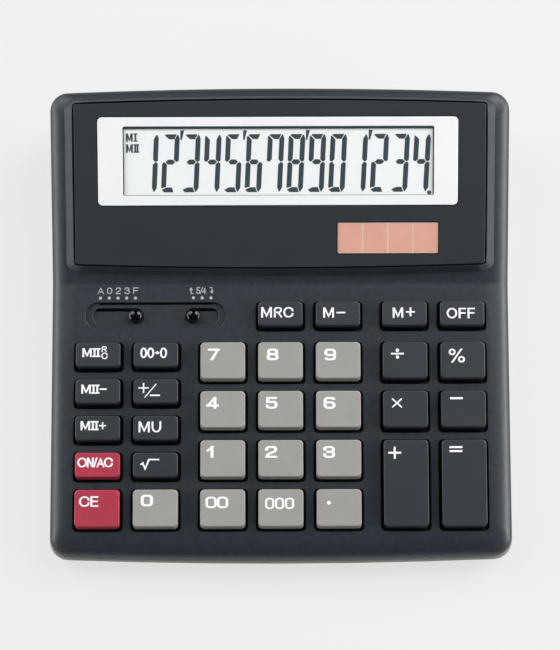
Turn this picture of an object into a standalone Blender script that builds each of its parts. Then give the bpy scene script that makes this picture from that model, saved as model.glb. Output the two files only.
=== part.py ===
"""A desktop calculator with a tilted display hood, 32 keys, two slide switches and a coin cell door.

Units are metres, +Z is up, +X is to the right and +Y to the rear. The origin is on the table,
under the middle of the case. Sizes are named below and everything else follows from them.
Two tilted planes carry the top: the deck with the keys, and behind a crease the steeper display
hood. Places on them are (x, v, w): v runs up the slope from the crease and w stands off it.
"""

import math

import bmesh
import bpy
from mathutils import Matrix, Vector
from mathutils.geometry import interpolate_bezier

MM = 0.001

# Clearances between pieces
CLEAR = 0.3 * MM
KEY_PLAY = 0.45 * MM
OVERRUN = 1.0 * MM

# Keys
KEY_WIDTH = 15.0 * MM
KEY_DEPTH = 12.05 * MM
SMALL_KEY_DEPTH = 8.0 * MM
KEY_GAP = 4.1 * MM
GROUP_GAP = 7.1 * MM
BLOCK_GAP = 5.5 * MM
KEY_HEIGHT = 2.4 * MM
KEY_TRAVEL = 1.5 * MM
KEY_CORNER = 1.5 * MM
KEY_EDGE = 0.4 * MM
KEY_SIDE_FLARE = 0.3 * MM
KEY_REAR_FLARE = 0.2 * MM
KEY_FRONT_FLARE = 0.8 * MM
KEY_WALL = 1.2 * MM
KEY_POST = 3.0 * MM
KEY_RIM_THICKNESS = 0.8 * MM
KEY_RIM_REACH = 0.5 * MM
KEY_RIM_SIDE = 0.6 * MM

# Case
DECK_ANGLE = math.radians(4.0)
HOOD_ANGLE = math.radians(14.7)
FRONT_HEIGHT = 13.5 * MM
SIDE_MARGIN = 8.6 * MM
FRONT_MARGIN = 10.8 * MM
TOP_ROW_SETBACK = 6.4 * MM
CASE_CORNER = 5.8 * MM
CORNER_SHARE = 0.35
EDGE_BOW_RADIUS = 1900.0 * MM
FLANK_WIDTH = 8.6 * MM
FLANK_DROP = 3.9 * MM
INNER_FLANK_WIDTH = 6.0 * MM
INNER_FLANK_DROP = 1.0 * MM
DECK_THICKNESS = 2.0 * MM
CASE_WALL = 2.0 * MM
PARTING_HEIGHT = 9.0 * MM
PARTING_DECK_ANGLE = math.radians(3.0)
PARTING_HOOD_ANGLE = math.radians(11.5)
LEDGE_FRONT = 1.3 * MM
LEDGE_SIDE = 0.35 * MM
LEDGE_DROP = 1.0 * MM
LIP_HEIGHT = 1.1 * MM
LIP_WIDTH = 1.2 * MM
FLOOR_THICKNESS = 2.0 * MM
FLOOR_ROUND = 1.2 * MM
LOWER_DRAFT = 0.6 * MM

# Feet
FOOT_STAND = 1.5 * MM
FOOT_RADIUS = 5.0 * MM
FOOT_SEAT = 0.5 * MM
FOOT_EDGE = 0.4 * MM
FOOT_INSET = 14.0 * MM

# Display hood and what it carries
HOOD_RISE = 2.6 * MM
HOOD_LIP = 0.3 * MM
HOOD_EDGE = 0.25 * MM
HOOD_ROOT = 1.8 * MM
HOOD_SIDE_SPREAD = 4.0 * MM
HOOD_FRONT_SPREAD = 3.9 * MM
HOOD_REAR_SPREAD = 1.2 * MM
HOOD_CORNER = 1.5 * MM
HOOD_FOOT_CORNER = 4.0 * MM
PANEL_SETBACK = 5.5 * MM
PANEL_REAR_MARGIN = 5.05 * MM
PANEL_SIDE_MARGIN = 8.5 * MM
PANEL_GAP = 0.5 * MM
PANEL_THICKNESS = 1.5 * MM
PANEL_CORNER = 1.0 * MM
PANEL_EDGE = 0.2 * MM
BEZEL_LEFT_MARGIN = 7.8 * MM
BEZEL_RIGHT_MARGIN = 9.2 * MM
BEZEL_LENGTH = 29.0 * MM
BEZEL_RISE = 0.2 * MM
BEZEL_CORNER = 1.5 * MM
BEZEL_REAR_MARGIN = 5.5 * MM
BEZEL_SIDE_BORDER = 8.45 * MM
BEZEL_REAR_BORDER = 3.05 * MM
BEZEL_FRONT_BORDER = 3.25 * MM
WINDOW_CORNER = 0.6 * MM
GLASS_BORDER = 2.6 * MM
GLASS_PLAY = 0.5 * MM
GLASS_THICKNESS = 2.2 * MM
CONTACT_STRIP = 3.1 * MM
HOLDER_FLANGE = 4.0 * MM
HOLDER_PIN_RADIUS = 0.8 * MM
HOLDER_THICKNESS = 1.2 * MM
SOLAR_WIDTH = 33.4 * MM
SOLAR_LENGTH = 10.2 * MM
SOLAR_RIGHT_MARGIN = 15.5 * MM
SOLAR_FRONT_MARGIN = 4.5 * MM
SOLAR_BEZEL_GAP = 5.8 * MM
SOLAR_SINK = 0.3 * MM

# Slide switches
STOP_PITCH = 2.92 * MM
DECIMAL_STEPS = 4
ROUNDING_STEPS = 2
SLOT_RADIUS = 2.9 * MM
SLOT_BRIDGE = 13.5 * MM
RECESS_RIM = 2.05 * MM
RECESS_RIM_END = 1.5 * MM
RECESS_INSET = 2.9 * MM
RECESS_DEPTH = 0.6 * MM
SLOT_DEPTH = 0.9 * MM
SLOT_SHIFT = 0.7 * MM
SLIT_WIDTH = 1.6 * MM
SLIT_SETBACK = 0.3 * MM
KNOB_RADIUS = 2.05 * MM
KNOB_COLLAR = 0.9 * MM
STEM_WIDTH = 2.4 * MM
CARRIAGE_DEPTH = 6.4 * MM
CARRIAGE_MARGIN = 4.5 * MM
CARRIAGE_THICKNESS = 0.9 * MM
WIPER_LEG = 2.0 * MM

# Keypad mat and circuit board, hung under the deck
MAT_THICKNESS = 0.8 * MM
MAT_MARGIN = 1.2 * MM
DOME_HEIGHT = 0.6 * MM
DOME_RADIUS = 3.0 * MM
DOME_SPREAD = 0.6 * MM
BOARD_THICKNESS = 1.6 * MM
BOARD_MARGIN = 1.0 * MM
BOARD_REAR = 3.0 * MM
POST_RADIUS = 1.9 * MM
PIN_RADIUS = 0.9 * MM
PIN_END = 0.7 * MM
CHIP_RADIUS = 5.0 * MM
CHIP_HEIGHT = 1.4 * MM
CAPACITOR_RADIUS = 2.0 * MM
CAPACITOR_LENGTH = 7.0 * MM
CAPACITOR_X = 22.0 * MM

# Leads inside the hood
RIBBON_WIDTH = 50.0 * MM
RIBBON_THICKNESS = 0.3 * MM
RIBBON_X = -14.0 * MM
RIBBON_LAP = 5.0 * MM
WIRE_RADIUS = 0.45 * MM
WIRE_HOLE_RADIUS = 1.0 * MM
WIRE_SPACING = 20.0 * MM

# Screws and their bosses
SCREW_HEAD_RADIUS = 2.2 * MM
SCREW_HEAD_HEIGHT = 1.6 * MM
SCREW_RADIUS = 1.0 * MM
SCREW_REACH = 6.5 * MM
SCREW_SLOT_WIDTH = 0.8 * MM
SCREW_SLOT_DEPTH = 0.8 * MM
BOSS_RADIUS = 2.2 * MM
LOWER_BOSS_RADIUS = 3.8 * MM
BOSS_BRIDGE = 1.8 * MM
FRONT_HEAD_DEPTH = 2.1 * MM
REAR_HEAD_DEPTH = 9.0 * MM
REAR_SCREW_SIDE_INSET = 14.0 * MM
REAR_SCREW_INSET = 12.0 * MM

# Coin cell and its door
CELL_RADIUS = 10.0 * MM
CELL_THICKNESS = 3.2 * MM
CELL_PLAY = 0.5 * MM
CELL_EDGE = 0.3 * MM
CELL_X = 34.0 * MM
CELL_FROM_CREASE = 11.0 * MM
DOOR_WIDTH = 28.0 * MM
DOOR_LENGTH = 25.0 * MM
DOOR_THICKNESS = 1.6 * MM
DOOR_CORNER = 1.0 * MM
WELL_WALL = 3.2 * MM
WELL_ROOF = 1.5 * MM
TONGUE_WIDTH = 5.0 * MM
TONGUE_REACH = 1.4 * MM
TONGUE_THICKNESS = 1.0 * MM
TONGUE_SPACING = 19.0 * MM
NAIL_NOTCH_RADIUS = 5.0 * MM
NAIL_NOTCH_DEPTH = 0.8 * MM
CONTACT_THICKNESS = 0.4 * MM
CONTACT_WIDTH = 4.0 * MM

# Counts
NUMBER_ROWS = 4

# Facets
CORNER_STEPS = 5
KEY_CORNER_STEPS = 2
EDGE_STEPS = 6
FLANK_STEPS = 5
INNER_FLANK_STEPS = 2
ROUND_SIDES = 16
DOME_SIDES = 10
KNOB_RINGS = 4

# Places worked out from the sizes
PITCH = KEY_WIDTH + KEY_GAP
GROUP_PITCH = KEY_WIDTH + GROUP_GAP
ROW_PITCH = KEY_DEPTH + KEY_GAP
SMALL_PITCH = SMALL_KEY_DEPTH + KEY_GAP
COLUMNS = {
    "A": -PITCH - GROUP_PITCH - PITCH,
    "B": -PITCH - GROUP_PITCH,
    "C": -PITCH,
    "D": 0.0,
    "E": PITCH,
    "F": PITCH + GROUP_PITCH,
    "G": PITCH + GROUP_PITCH + PITCH,
}
KEYS_LEFT = COLUMNS["A"] - KEY_WIDTH / 2
KEYS_REAR = -TOP_ROW_SETBACK - SMALL_KEY_DEPTH - BLOCK_GAP
KEYS_FRONT = KEYS_REAR - (NUMBER_ROWS - 1) * ROW_PITCH - KEY_DEPTH
TALL_KEY_DEPTH = ROW_PITCH + KEY_DEPTH

DECK_LENGTH = FRONT_MARGIN - KEYS_FRONT
PANEL_LENGTH = (
    SOLAR_FRONT_MARGIN + SOLAR_LENGTH + SOLAR_BEZEL_GAP + BEZEL_LENGTH + BEZEL_REAR_MARGIN
)
PANEL_FRONT = PANEL_SETBACK
PANEL_REAR = PANEL_FRONT + PANEL_LENGTH
HOOD_LENGTH = PANEL_REAR + PANEL_REAR_MARGIN

HALF_WIDTH = SIDE_MARGIN - KEYS_LEFT
DECK_RUN = DECK_LENGTH * math.cos(DECK_ANGLE)
HOOD_RUN = HOOD_LENGTH * math.cos(HOOD_ANGLE)
FRONT_Y = LEDGE_FRONT - (DECK_RUN + HOOD_RUN + LEDGE_FRONT + LEDGE_SIDE) / 2
CREASE_Y = FRONT_Y + DECK_RUN
REAR_Y = CREASE_Y + HOOD_RUN
CREASE_Z = FRONT_HEIGHT + DECK_RUN * math.tan(DECK_ANGLE)
DECK = Matrix.Translation((0, CREASE_Y, CREASE_Z)) @ Matrix.Rotation(DECK_ANGLE, 4, "X")
HOOD = Matrix.Translation((0, CREASE_Y, CREASE_Z)) @ Matrix.Rotation(HOOD_ANGLE, 4, "X")

FLOOR_TOP = FOOT_STAND + FLOOR_THICKNESS
PANEL_HALF = HALF_WIDTH - PANEL_SIDE_MARGIN
PANEL_SEAT = HOOD_RISE - PANEL_THICKNESS - CLEAR
BEZEL_WIDTH = 2 * PANEL_HALF - BEZEL_LEFT_MARGIN - BEZEL_RIGHT_MARGIN
BEZEL_SHIFT = (BEZEL_RIGHT_MARGIN - BEZEL_LEFT_MARGIN) / 2
BEZEL_REAR = PANEL_REAR - BEZEL_REAR_MARGIN
BEZEL_FRONT = BEZEL_REAR - BEZEL_LENGTH
WINDOW_HALF = BEZEL_WIDTH / 2 - BEZEL_SIDE_BORDER
WINDOW_REAR = BEZEL_REAR - BEZEL_REAR_BORDER
WINDOW_FRONT = BEZEL_FRONT + BEZEL_FRONT_BORDER
GLASS_TOP = PANEL_SEAT
GLASS_BOTTOM = GLASS_TOP - GLASS_THICKNESS
HOLDER_TOP = -DECK_THICKNESS - 2 * CLEAR
SOLAR_X = PANEL_HALF - SOLAR_RIGHT_MARGIN - SOLAR_WIDTH / 2
SOLAR_FRONT = PANEL_FRONT + SOLAR_FRONT_MARGIN
SOLAR_REAR = SOLAR_FRONT + SOLAR_LENGTH

RIM_TOP = -DECK_THICKNESS - CLEAR
RIM_BOTTOM = RIM_TOP - KEY_RIM_THICKNESS
MAT_TOP = RIM_BOTTOM - KEY_TRAVEL - CLEAR - DOME_HEIGHT
BOARD_TOP = MAT_TOP - MAT_THICKNESS - CLEAR
BOARD_BOTTOM = BOARD_TOP - BOARD_THICKNESS
MAT_FRONT = KEYS_FRONT - MAT_MARGIN
BOARD_FRONT = MAT_FRONT - BOARD_MARGIN
MAT_HALF = -KEYS_LEFT
MAT_REAR = MAT_MARGIN - TOP_ROW_SETBACK
BOARD_HALF = MAT_HALF + BOARD_MARGIN

SWITCH_V = -TOP_ROW_SETBACK - SMALL_KEY_DEPTH / 2 - SLOT_SHIFT
RECESS_LEFT = KEYS_LEFT + RECESS_INSET
DECIMAL_TRAVEL = DECIMAL_STEPS * STOP_PITCH
ROUNDING_TRAVEL = ROUNDING_STEPS * STOP_PITCH
DECIMAL_FIRST = RECESS_LEFT + RECESS_RIM + SLOT_RADIUS
DECIMAL_LAST = DECIMAL_FIRST + DECIMAL_TRAVEL
ROUNDING_FIRST = DECIMAL_LAST + SLOT_RADIUS + SLOT_BRIDGE + SLOT_RADIUS
ROUNDING_LAST = ROUNDING_FIRST + ROUNDING_TRAVEL
RECESS_RIGHT = ROUNDING_LAST + SLOT_RADIUS + RECESS_RIM
SLOT_FLOOR = -RECESS_DEPTH - SLOT_DEPTH
SLIT_V = SWITCH_V + SLOT_RADIUS - SLIT_SETBACK - SLIT_WIDTH / 2

BOSS_X = COLUMNS["E"] + GROUP_PITCH / 2
POST_VS = (KEYS_REAR + BLOCK_GAP / 2, KEYS_REAR - ROW_PITCH - KEY_DEPTH - KEY_GAP / 2)
FRONT_SCREW_Y = CREASE_Y + (KEYS_FRONT + KEY_DEPTH / 2) * math.cos(DECK_ANGLE)
REAR_SCREW_X = HALF_WIDTH - REAR_SCREW_SIDE_INSET
REAR_SCREW_Y = REAR_Y - REAR_SCREW_INSET

CELL_Y = CREASE_Y - CELL_FROM_CREASE
DOOR_TOP = FOOT_STAND + DOOR_THICKNESS
CELL_BOTTOM = DOOR_TOP + CLEAR
CELL_TOP = CELL_BOTTOM + CELL_THICKNESS
WELL_CEILING = CELL_TOP + CLEAR + CONTACT_THICKNESS + CLEAR
WELL_TOP = WELL_CEILING + WELL_ROOF
DOOR_FRONT_Y = CELL_Y - DOOR_LENGTH / 2
TONGUE_TOP = FLOOR_THICKNESS + CLEAR + TONGUE_THICKNESS
TONGUE_SWEEP = math.hypot(TONGUE_REACH, TONGUE_TOP) + CLEAR
WELL_HALF = DOOR_WIDTH / 2 + WELL_WALL
WELL_FRONT_Y = DOOR_FRONT_Y - WELL_WALL
WELL_REAR_Y = CELL_Y + DOOR_LENGTH / 2 + WELL_WALL

# One row for each key: name, column, kind, and how many key rows it lies in front of the rear one
KEYS = (
    ("key_memory_recall", "D", "top", 0, "dark"),
    ("key_memory_minus", "E", "top", 0, "dark"),
    ("key_memory_plus", "F", "top", 0, "dark"),
    ("key_off", "G", "top", 0, "dark"),
    ("key_memory_two_recall", "A", "small", 0, "dark"),
    ("key_memory_two_minus", "A", "small", 1, "dark"),
    ("key_memory_two_plus", "A", "small", 2, "dark"),
    ("key_on_all_clear", "A", "small", 3, "red"),
    ("key_clear_entry", "A", "number", 3, "red"),
    ("key_backspace", "B", "small", 0, "dark"),
    ("key_sign_change", "B", "small", 1, "dark"),
    ("key_mark_up", "B", "small", 2, "dark"),
    ("key_square_root", "B", "small", 3, "dark"),
    ("key_zero", "B", "number", 3, "light"),
    ("key_seven", "C", "number", 0, "light"),
    ("key_four", "C", "number", 1, "light"),
    ("key_one", "C", "number", 2, "light"),
    ("key_double_zero", "C", "number", 3, "light"),
    ("key_eight", "D", "number", 0, "light"),
    ("key_five", "D", "number", 1, "light"),
    ("key_two", "D", "number", 2, "light"),
    ("key_triple_zero", "D", "number", 3, "light"),
    ("key_nine", "E", "number", 0, "light"),
    ("key_six", "E", "number", 1, "light"),
    ("key_three", "E", "number", 2, "light"),
    ("key_decimal_point", "E", "number", 3, "light"),
    ("key_divide", "F", "number", 0, "dark"),
    ("key_multiply", "F", "number", 1, "dark"),
    ("key_add", "F", "tall", 2, "dark"),
    ("key_percent", "G", "number", 0, "dark"),
    ("key_subtract", "G", "number", 1, "dark"),
    ("key_equals", "G", "tall", 2, "dark"),
)
KEY_DEPTHS = {
    "top": SMALL_KEY_DEPTH,
    "small": SMALL_KEY_DEPTH,
    "number": KEY_DEPTH,
    "tall": TALL_KEY_DEPTH,
}

# Finishes: colour, roughness, metallic
FINISHES = {
    "charcoal": ((0.045, 0.049, 0.058), 0.5, 0.0),
    "panel": ((0.050, 0.054, 0.064), 0.4, 0.0),
    "underside": ((0.20, 0.205, 0.20), 0.55, 0.0),
    "dark": ((0.050, 0.053, 0.062), 0.45, 0.0),
    "light": ((0.34, 0.33, 0.31), 0.45, 0.0),
    "red": ((0.44, 0.06, 0.09), 0.45, 0.0),
    "white": ((0.85, 0.86, 0.86), 0.35, 0.0),
    "glass": ((0.80, 0.86, 0.84), 0.1, 0.0),
    "solar": ((0.70, 0.38, 0.29), 0.2, 0.0),
    "rubber": ((0.06, 0.06, 0.06), 0.85, 0.0),
    "mat": ((0.55, 0.56, 0.55), 0.8, 0.0),
    "board": ((0.03, 0.16, 0.07), 0.45, 0.0),
    "epoxy": ((0.02, 0.02, 0.02), 0.3, 0.0),
    "sleeve": ((0.02, 0.03, 0.12), 0.35, 0.0),
    "steel": ((0.60, 0.60, 0.62), 0.3, 1.0),
    "knob": ((0.01, 0.01, 0.012), 0.12, 0.0),
    "ribbon": ((0.45, 0.27, 0.08), 0.4, 0.0),
    "wire_red": ((0.45, 0.02, 0.02), 0.45, 0.0),
    "wire_black": ((0.02, 0.02, 0.02), 0.45, 0.0),
}


def top_height(y):
    """Height of the top planes, deck or hood, above the table."""
    angle = DECK_ANGLE if y < CREASE_Y else HOOD_ANGLE
    return CREASE_Z + (y - CREASE_Y) * math.tan(angle)


def parting_height(y):
    """Height of the line where the upper case meets the lower one."""
    crease = PARTING_HEIGHT + (CREASE_Y - FRONT_Y) * math.tan(PARTING_DECK_ANGLE)
    angle = PARTING_DECK_ANGLE if y < CREASE_Y else PARTING_HOOD_ANGLE
    return crease + (y - CREASE_Y) * math.tan(angle)


def outline(half_width, front, rear, corner, steps=CORNER_STEPS, bowed=False):
    """Points round a rectangle with round corners; bowed swells its front and rear edges."""
    corner = min(corner, 0.99 * half_width, 0.495 * (rear - front))
    centres = (
        (half_width - corner, front + corner, -90),
        (half_width - corner, rear - corner, 0),
        (corner - half_width, rear - corner, 90),
        (corner - half_width, front + corner, 180),
    )
    points = []
    for x, y, start in centres:
        for step in range(steps + 1):
            turn = math.radians(start + 90 * step / steps)
            points.append((x + corner * math.cos(turn), y + corner * math.sin(turn)))
        if bowed and start in (0, 180):
            last = points[-1]
            for step in range(1, EDGE_STEPS):
                points.append((last[0] * (1 - 2 * step / EDGE_STEPS), last[1]))
    if not bowed:
        return points
    middle, half = (front + rear) / 2, (rear - front) / 2
    return [
        (x, y - (y - middle) / half * x * x / (2 * EDGE_BOW_RADIUS)) for x, y in points
    ]


def shifted(points, x):
    return [(px + x, py) for px, py in points]


def with_crease(points):
    """The outline with a point added on each side where it crosses the crease."""
    found = []
    for a, b in zip(points, points[1:] + points[:1]):
        found.append(a)
        if (a[1] - CREASE_Y) * (b[1] - CREASE_Y) < 0:
            share = (CREASE_Y - a[1]) / (b[1] - a[1])
            found.append((a[0] + share * (b[0] - a[0]), CREASE_Y))
    return found


def level(points, height):
    """A loop of points, all at one height."""
    return [(x, y, height) for x, y in points]


def draped(points, height_at, offset):
    """A loop of points that follows the top or the parting line."""
    return [(x, y, height_at(y) + offset) for x, y in points]


def skin(loops, crease=False):
    """A closed mesh through the loops, capped at its first and last one."""
    mesh = bmesh.new()
    rings = [[mesh.verts.new(point) for point in loop] for loop in loops]
    for low, high in zip(rings, rings[1:]):
        for i, vertex in enumerate(low):
            after = (i + 1) % len(low)
            mesh.faces.new((vertex, low[after], high[after], high[i]))
    for ring in (rings[0], rings[-1]):
        if crease:
            first, second = [i for i, v in enumerate(ring) if abs(v.co.y - CREASE_Y) < CLEAR / 100]
            mesh.faces.new(ring[first : second + 1])
            mesh.faces.new(ring[second:] + ring[: first + 1])
        else:
            mesh.faces.new(ring)
    bmesh.ops.recalc_face_normals(mesh, faces=mesh.faces)
    return mesh


def block(x0, x1, y0, y1, z0, z1):
    """A box between two corners."""
    corners = [(x0, y0), (x1, y0), (x1, y1), (x0, y1)]
    return skin([level(corners, z0), level(corners, z1)])


def rod(x, y, z0, z1, radius, sides=ROUND_SIDES):
    """An upright cylinder."""
    ring = [
        (x + radius * math.cos(turn), y + radius * math.sin(turn))
        for turn in (math.tau * i / sides for i in range(sides))
    ]
    return skin([level(ring, z0), level(ring, z1)])


def turned(profile, sides=ROUND_SIDES):
    """A solid of revolution about Z from (radius, height) pairs, bottom first."""
    loops = [
        [
            (radius * math.cos(turn), radius * math.sin(turn), height)
            for turn in (math.tau * i / sides for i in range(sides))
        ]
        for radius, height in profile
    ]
    return skin(loops)


def merged(parts):
    """Several closed meshes in one, for a cutter that makes many holes at once."""
    whole = bmesh.new()
    for part in parts:
        copy = bpy.data.meshes.new("part")
        part.to_mesh(copy)
        part.free()
        whole.from_mesh(copy)
        bpy.data.meshes.remove(copy)
    return whole


def finish_material(name):
    """The Principled material of one finish."""
    if name in bpy.data.materials:
        return bpy.data.materials[name]
    colour, roughness, metallic = FINISHES[name]
    material = bpy.data.materials.new(name)
    material.use_nodes = True
    shader = material.node_tree.nodes["Principled BSDF"]
    shader.inputs["Base Color"].default_value = (*colour, 1)
    shader.inputs["Roughness"].default_value = roughness
    shader.inputs["Metallic"].default_value = metallic
    material.diffuse_color = (*colour, 1)
    return material


def add_object(name, shape, finish, place=None):
    """One named piece from a bmesh or a mesh, at a place given as a matrix."""
    if isinstance(shape, bmesh.types.BMesh):
        mesh = bpy.data.meshes.new(name)
        shape.to_mesh(mesh)
        shape.free()
    else:
        mesh = shape
    if not mesh.materials:
        mesh.materials.append(finish_material(finish))
    piece = bpy.data.objects.new(name, mesh)
    bpy.context.scene.collection.objects.link(piece)
    piece.material_slots[0].link = "OBJECT"
    piece.material_slots[0].material = finish_material(finish)
    piece.matrix_world = place or Matrix.Identity(4)
    return piece


def add_tool(name, shape, place=None):
    """A helper that shapes another piece and isn't part of the object."""
    tool = add_object(name, shape, "rubber", place)
    tool.hide_render = True
    tool.display_type = "WIRE"
    return tool


def shape_with(piece, operation, tool):
    """Adds to or cuts from the piece with a helper."""
    modifier = piece.modifiers.new(tool.name, "BOOLEAN")
    modifier.operation = operation
    modifier.solver = "EXACT"
    modifier.object = tool


def cut(piece, name, shape, place=None):
    shape_with(piece, "DIFFERENCE", add_tool(name, shape, place))


def fuse(piece, name, shape, place=None):
    shape_with(piece, "UNION", add_tool(name, shape, place))


def smooth(piece, angle=math.radians(35)):
    """Smooth shading on round surfaces, with the sharp edges kept."""
    piece.data.shade_smooth()
    piece.data.set_sharp_from_angle(angle=angle)


def case_outline(inset, spread_front=0.0, spread_side=0.0):
    """The plan of the case, drawn in by an inset, or out where the lower case stands proud."""
    corner = CASE_CORNER + spread_side - inset * CORNER_SHARE
    points = outline(
        HALF_WIDTH + spread_side - inset,
        FRONT_Y - spread_front + inset,
        REAR_Y + spread_side - inset,
        corner,
        bowed=True,
    )
    return with_crease(points)


def key_place(column, kind, rows):
    """The middle of a key on the deck, at its joint's axis."""
    depth = KEY_DEPTHS[kind]
    if kind == "top":
        rear = -TOP_ROW_SETBACK
    elif kind == "small":
        rear = KEYS_REAR - rows * SMALL_PITCH
    else:
        rear = KEYS_REAR - rows * ROW_PITCH
    return COLUMNS[column], rear - depth / 2


def key_foot(depth, spread=0.0, side_spread=0.0):
    """Outline of a key's skirt where it passes the deck."""
    return outline(
        KEY_WIDTH / 2 + KEY_SIDE_FLARE + side_spread,
        -depth / 2 - KEY_FRONT_FLARE - spread,
        depth / 2 + KEY_REAR_FLARE + spread,
        KEY_CORNER,
        KEY_CORNER_STEPS,
    )


def key_mesh(depth):
    """A hollow key cap with its retaining rim and the post that presses the dome."""
    half, end = KEY_WIDTH / 2, depth / 2
    face = outline(half - KEY_EDGE, KEY_EDGE - end, end - KEY_EDGE, KEY_CORNER, KEY_CORNER_STEPS)
    edge = outline(half, -end, end, KEY_CORNER, KEY_CORNER_STEPS)
    foot = key_foot(depth)
    rim = key_foot(depth, KEY_PLAY + KEY_RIM_REACH, KEY_RIM_SIDE)
    cap = skin(
        [
            level(rim, RIM_BOTTOM),
            level(rim, RIM_TOP),
            level(foot, RIM_TOP),
            level(foot, 0),
            level(edge, KEY_HEIGHT - KEY_EDGE),
            level(face, KEY_HEIGHT),
        ]
    )
    shell = add_tool("key_shell", cap)
    inner_half, inner_end = half - KEY_WALL, end - KEY_WALL
    ceiling = KEY_HEIGHT - KEY_WALL
    cut(
        shell,
        "key_hollow",
        block(-inner_half, inner_half, -inner_end, inner_end, RIM_BOTTOM - OVERRUN, ceiling),
    )
    post = KEY_POST / 2
    fuse(shell, "key_post", block(-post, post, -post, post, RIM_BOTTOM, ceiling + KEY_WALL / 2))
    mesh = bpy.data.meshes.new_from_object(shell.evaluated_get(bpy.context.evaluated_depsgraph_get()))
    for tool in [modifier.object for modifier in shell.modifiers] + [shell]:
        bpy.data.objects.remove(tool)
    return mesh


def add_keys():
    """All 32 keys, each with its origin on the deck where it slides."""
    meshes = {depth: key_mesh(depth) for depth in set(KEY_DEPTHS.values())}
    for name, column, kind, rows, finish in KEYS:
        x, v = key_place(column, kind, rows)
        mesh = meshes[KEY_DEPTHS[kind]]
        key = add_object(name, mesh, finish, DECK @ Matrix.Translation((x, v, 0)))
        smooth(key)


def key_holes():
    """One cutter for all the key openings in the deck."""
    holes = []
    for _, column, kind, rows, _ in KEYS:
        x, v = key_place(column, kind, rows)
        points = key_foot(KEY_DEPTHS[kind], KEY_PLAY, KEY_PLAY)
        placed = [(px + x, py + v) for px, py in points]
        holes.append(skin([level(placed, -DECK_THICKNESS - OVERRUN), level(placed, OVERRUN)]))
    return merged(holes)


def slot_outline(first, last, radius):
    """An obround from the first stop to the last, along the deck's front row line."""
    points = outline((last - first) / 2 + radius, -radius, radius, radius, CORNER_STEPS)
    return [(x + (first + last) / 2, y + SWITCH_V) for x, y in points]


def cut_switch_slots(case):
    """The shallow recess of both switches, their slots, and the slits that the stems pass."""
    recess = slot_outline(
        RECESS_LEFT + SLOT_RADIUS + RECESS_RIM_END,
        RECESS_RIGHT - SLOT_RADIUS - RECESS_RIM_END,
        SLOT_RADIUS + RECESS_RIM_END,
    )
    cut(case, "switch_recess", skin([level(recess, -RECESS_DEPTH), level(recess, OVERRUN)]), DECK)
    for name, first, last in (
        ("decimal", DECIMAL_FIRST, DECIMAL_LAST),
        ("rounding", ROUNDING_FIRST, ROUNDING_LAST),
    ):
        slot = slot_outline(first, last, SLOT_RADIUS)
        cut(case, name + "_slot", skin([level(slot, SLOT_FLOOR), level(slot, 0)]), DECK)
        reach = STEM_WIDTH / 2 + CLEAR
        slit = block(
            first - reach,
            last + reach,
            SLIT_V - SLIT_WIDTH / 2,
            SLIT_V + SLIT_WIDTH / 2,
            -DECK_THICKNESS - OVERRUN,
            SLOT_FLOOR + OVERRUN,
        )
        cut(case, name + "_slit", slit, DECK)


def hood_block():
    """The raised surround of the display, rooted in the top of the case."""
    half = PANEL_HALF + PANEL_GAP + HOOD_LIP
    front = PANEL_FRONT - PANEL_GAP - HOOD_LIP
    rear = PANEL_REAR + PANEL_GAP + HOOD_LIP
    foot = outline(
        half + HOOD_SIDE_SPREAD,
        front - HOOD_FRONT_SPREAD,
        rear + HOOD_REAR_SPREAD,
        HOOD_FOOT_CORNER,
        bowed=True,
    )
    edge = outline(half, front, rear, HOOD_CORNER, bowed=True)
    lip = outline(
        half - HOOD_EDGE / 2, front + HOOD_EDGE / 2, rear - HOOD_EDGE / 2, HOOD_CORNER, bowed=True
    )
    return skin(
        [level(foot, -HOOD_ROOT), level(edge, HOOD_RISE - HOOD_EDGE), level(lip, HOOD_RISE)]
    )


def screw_stations():
    """(x, y, joint height, head depth) of the four case screws."""
    board = top_height(FRONT_SCREW_Y) + BOARD_BOTTOM
    front = board - OVERRUN
    rear = FOOT_STAND + REAR_HEAD_DEPTH + BOSS_BRIDGE + 2 * CLEAR + SCREW_REACH / 2
    return [
        ("case_screw_front_left", -BOSS_X, FRONT_SCREW_Y, front, FRONT_HEAD_DEPTH),
        ("case_screw_front_right", BOSS_X, FRONT_SCREW_Y, front, FRONT_HEAD_DEPTH),
        ("case_screw_rear_left", -REAR_SCREW_X, REAR_SCREW_Y, rear, REAR_HEAD_DEPTH),
        ("case_screw_rear_right", REAR_SCREW_X, REAR_SCREW_Y, rear, REAR_HEAD_DEPTH),
    ]


def post_places():
    """The four posts that the circuit board hangs on, as world (x, y)."""
    return [(side * BOSS_X, CREASE_Y + v * math.cos(DECK_ANGLE)) for side in (-1, 1) for v in POST_VS]


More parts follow.
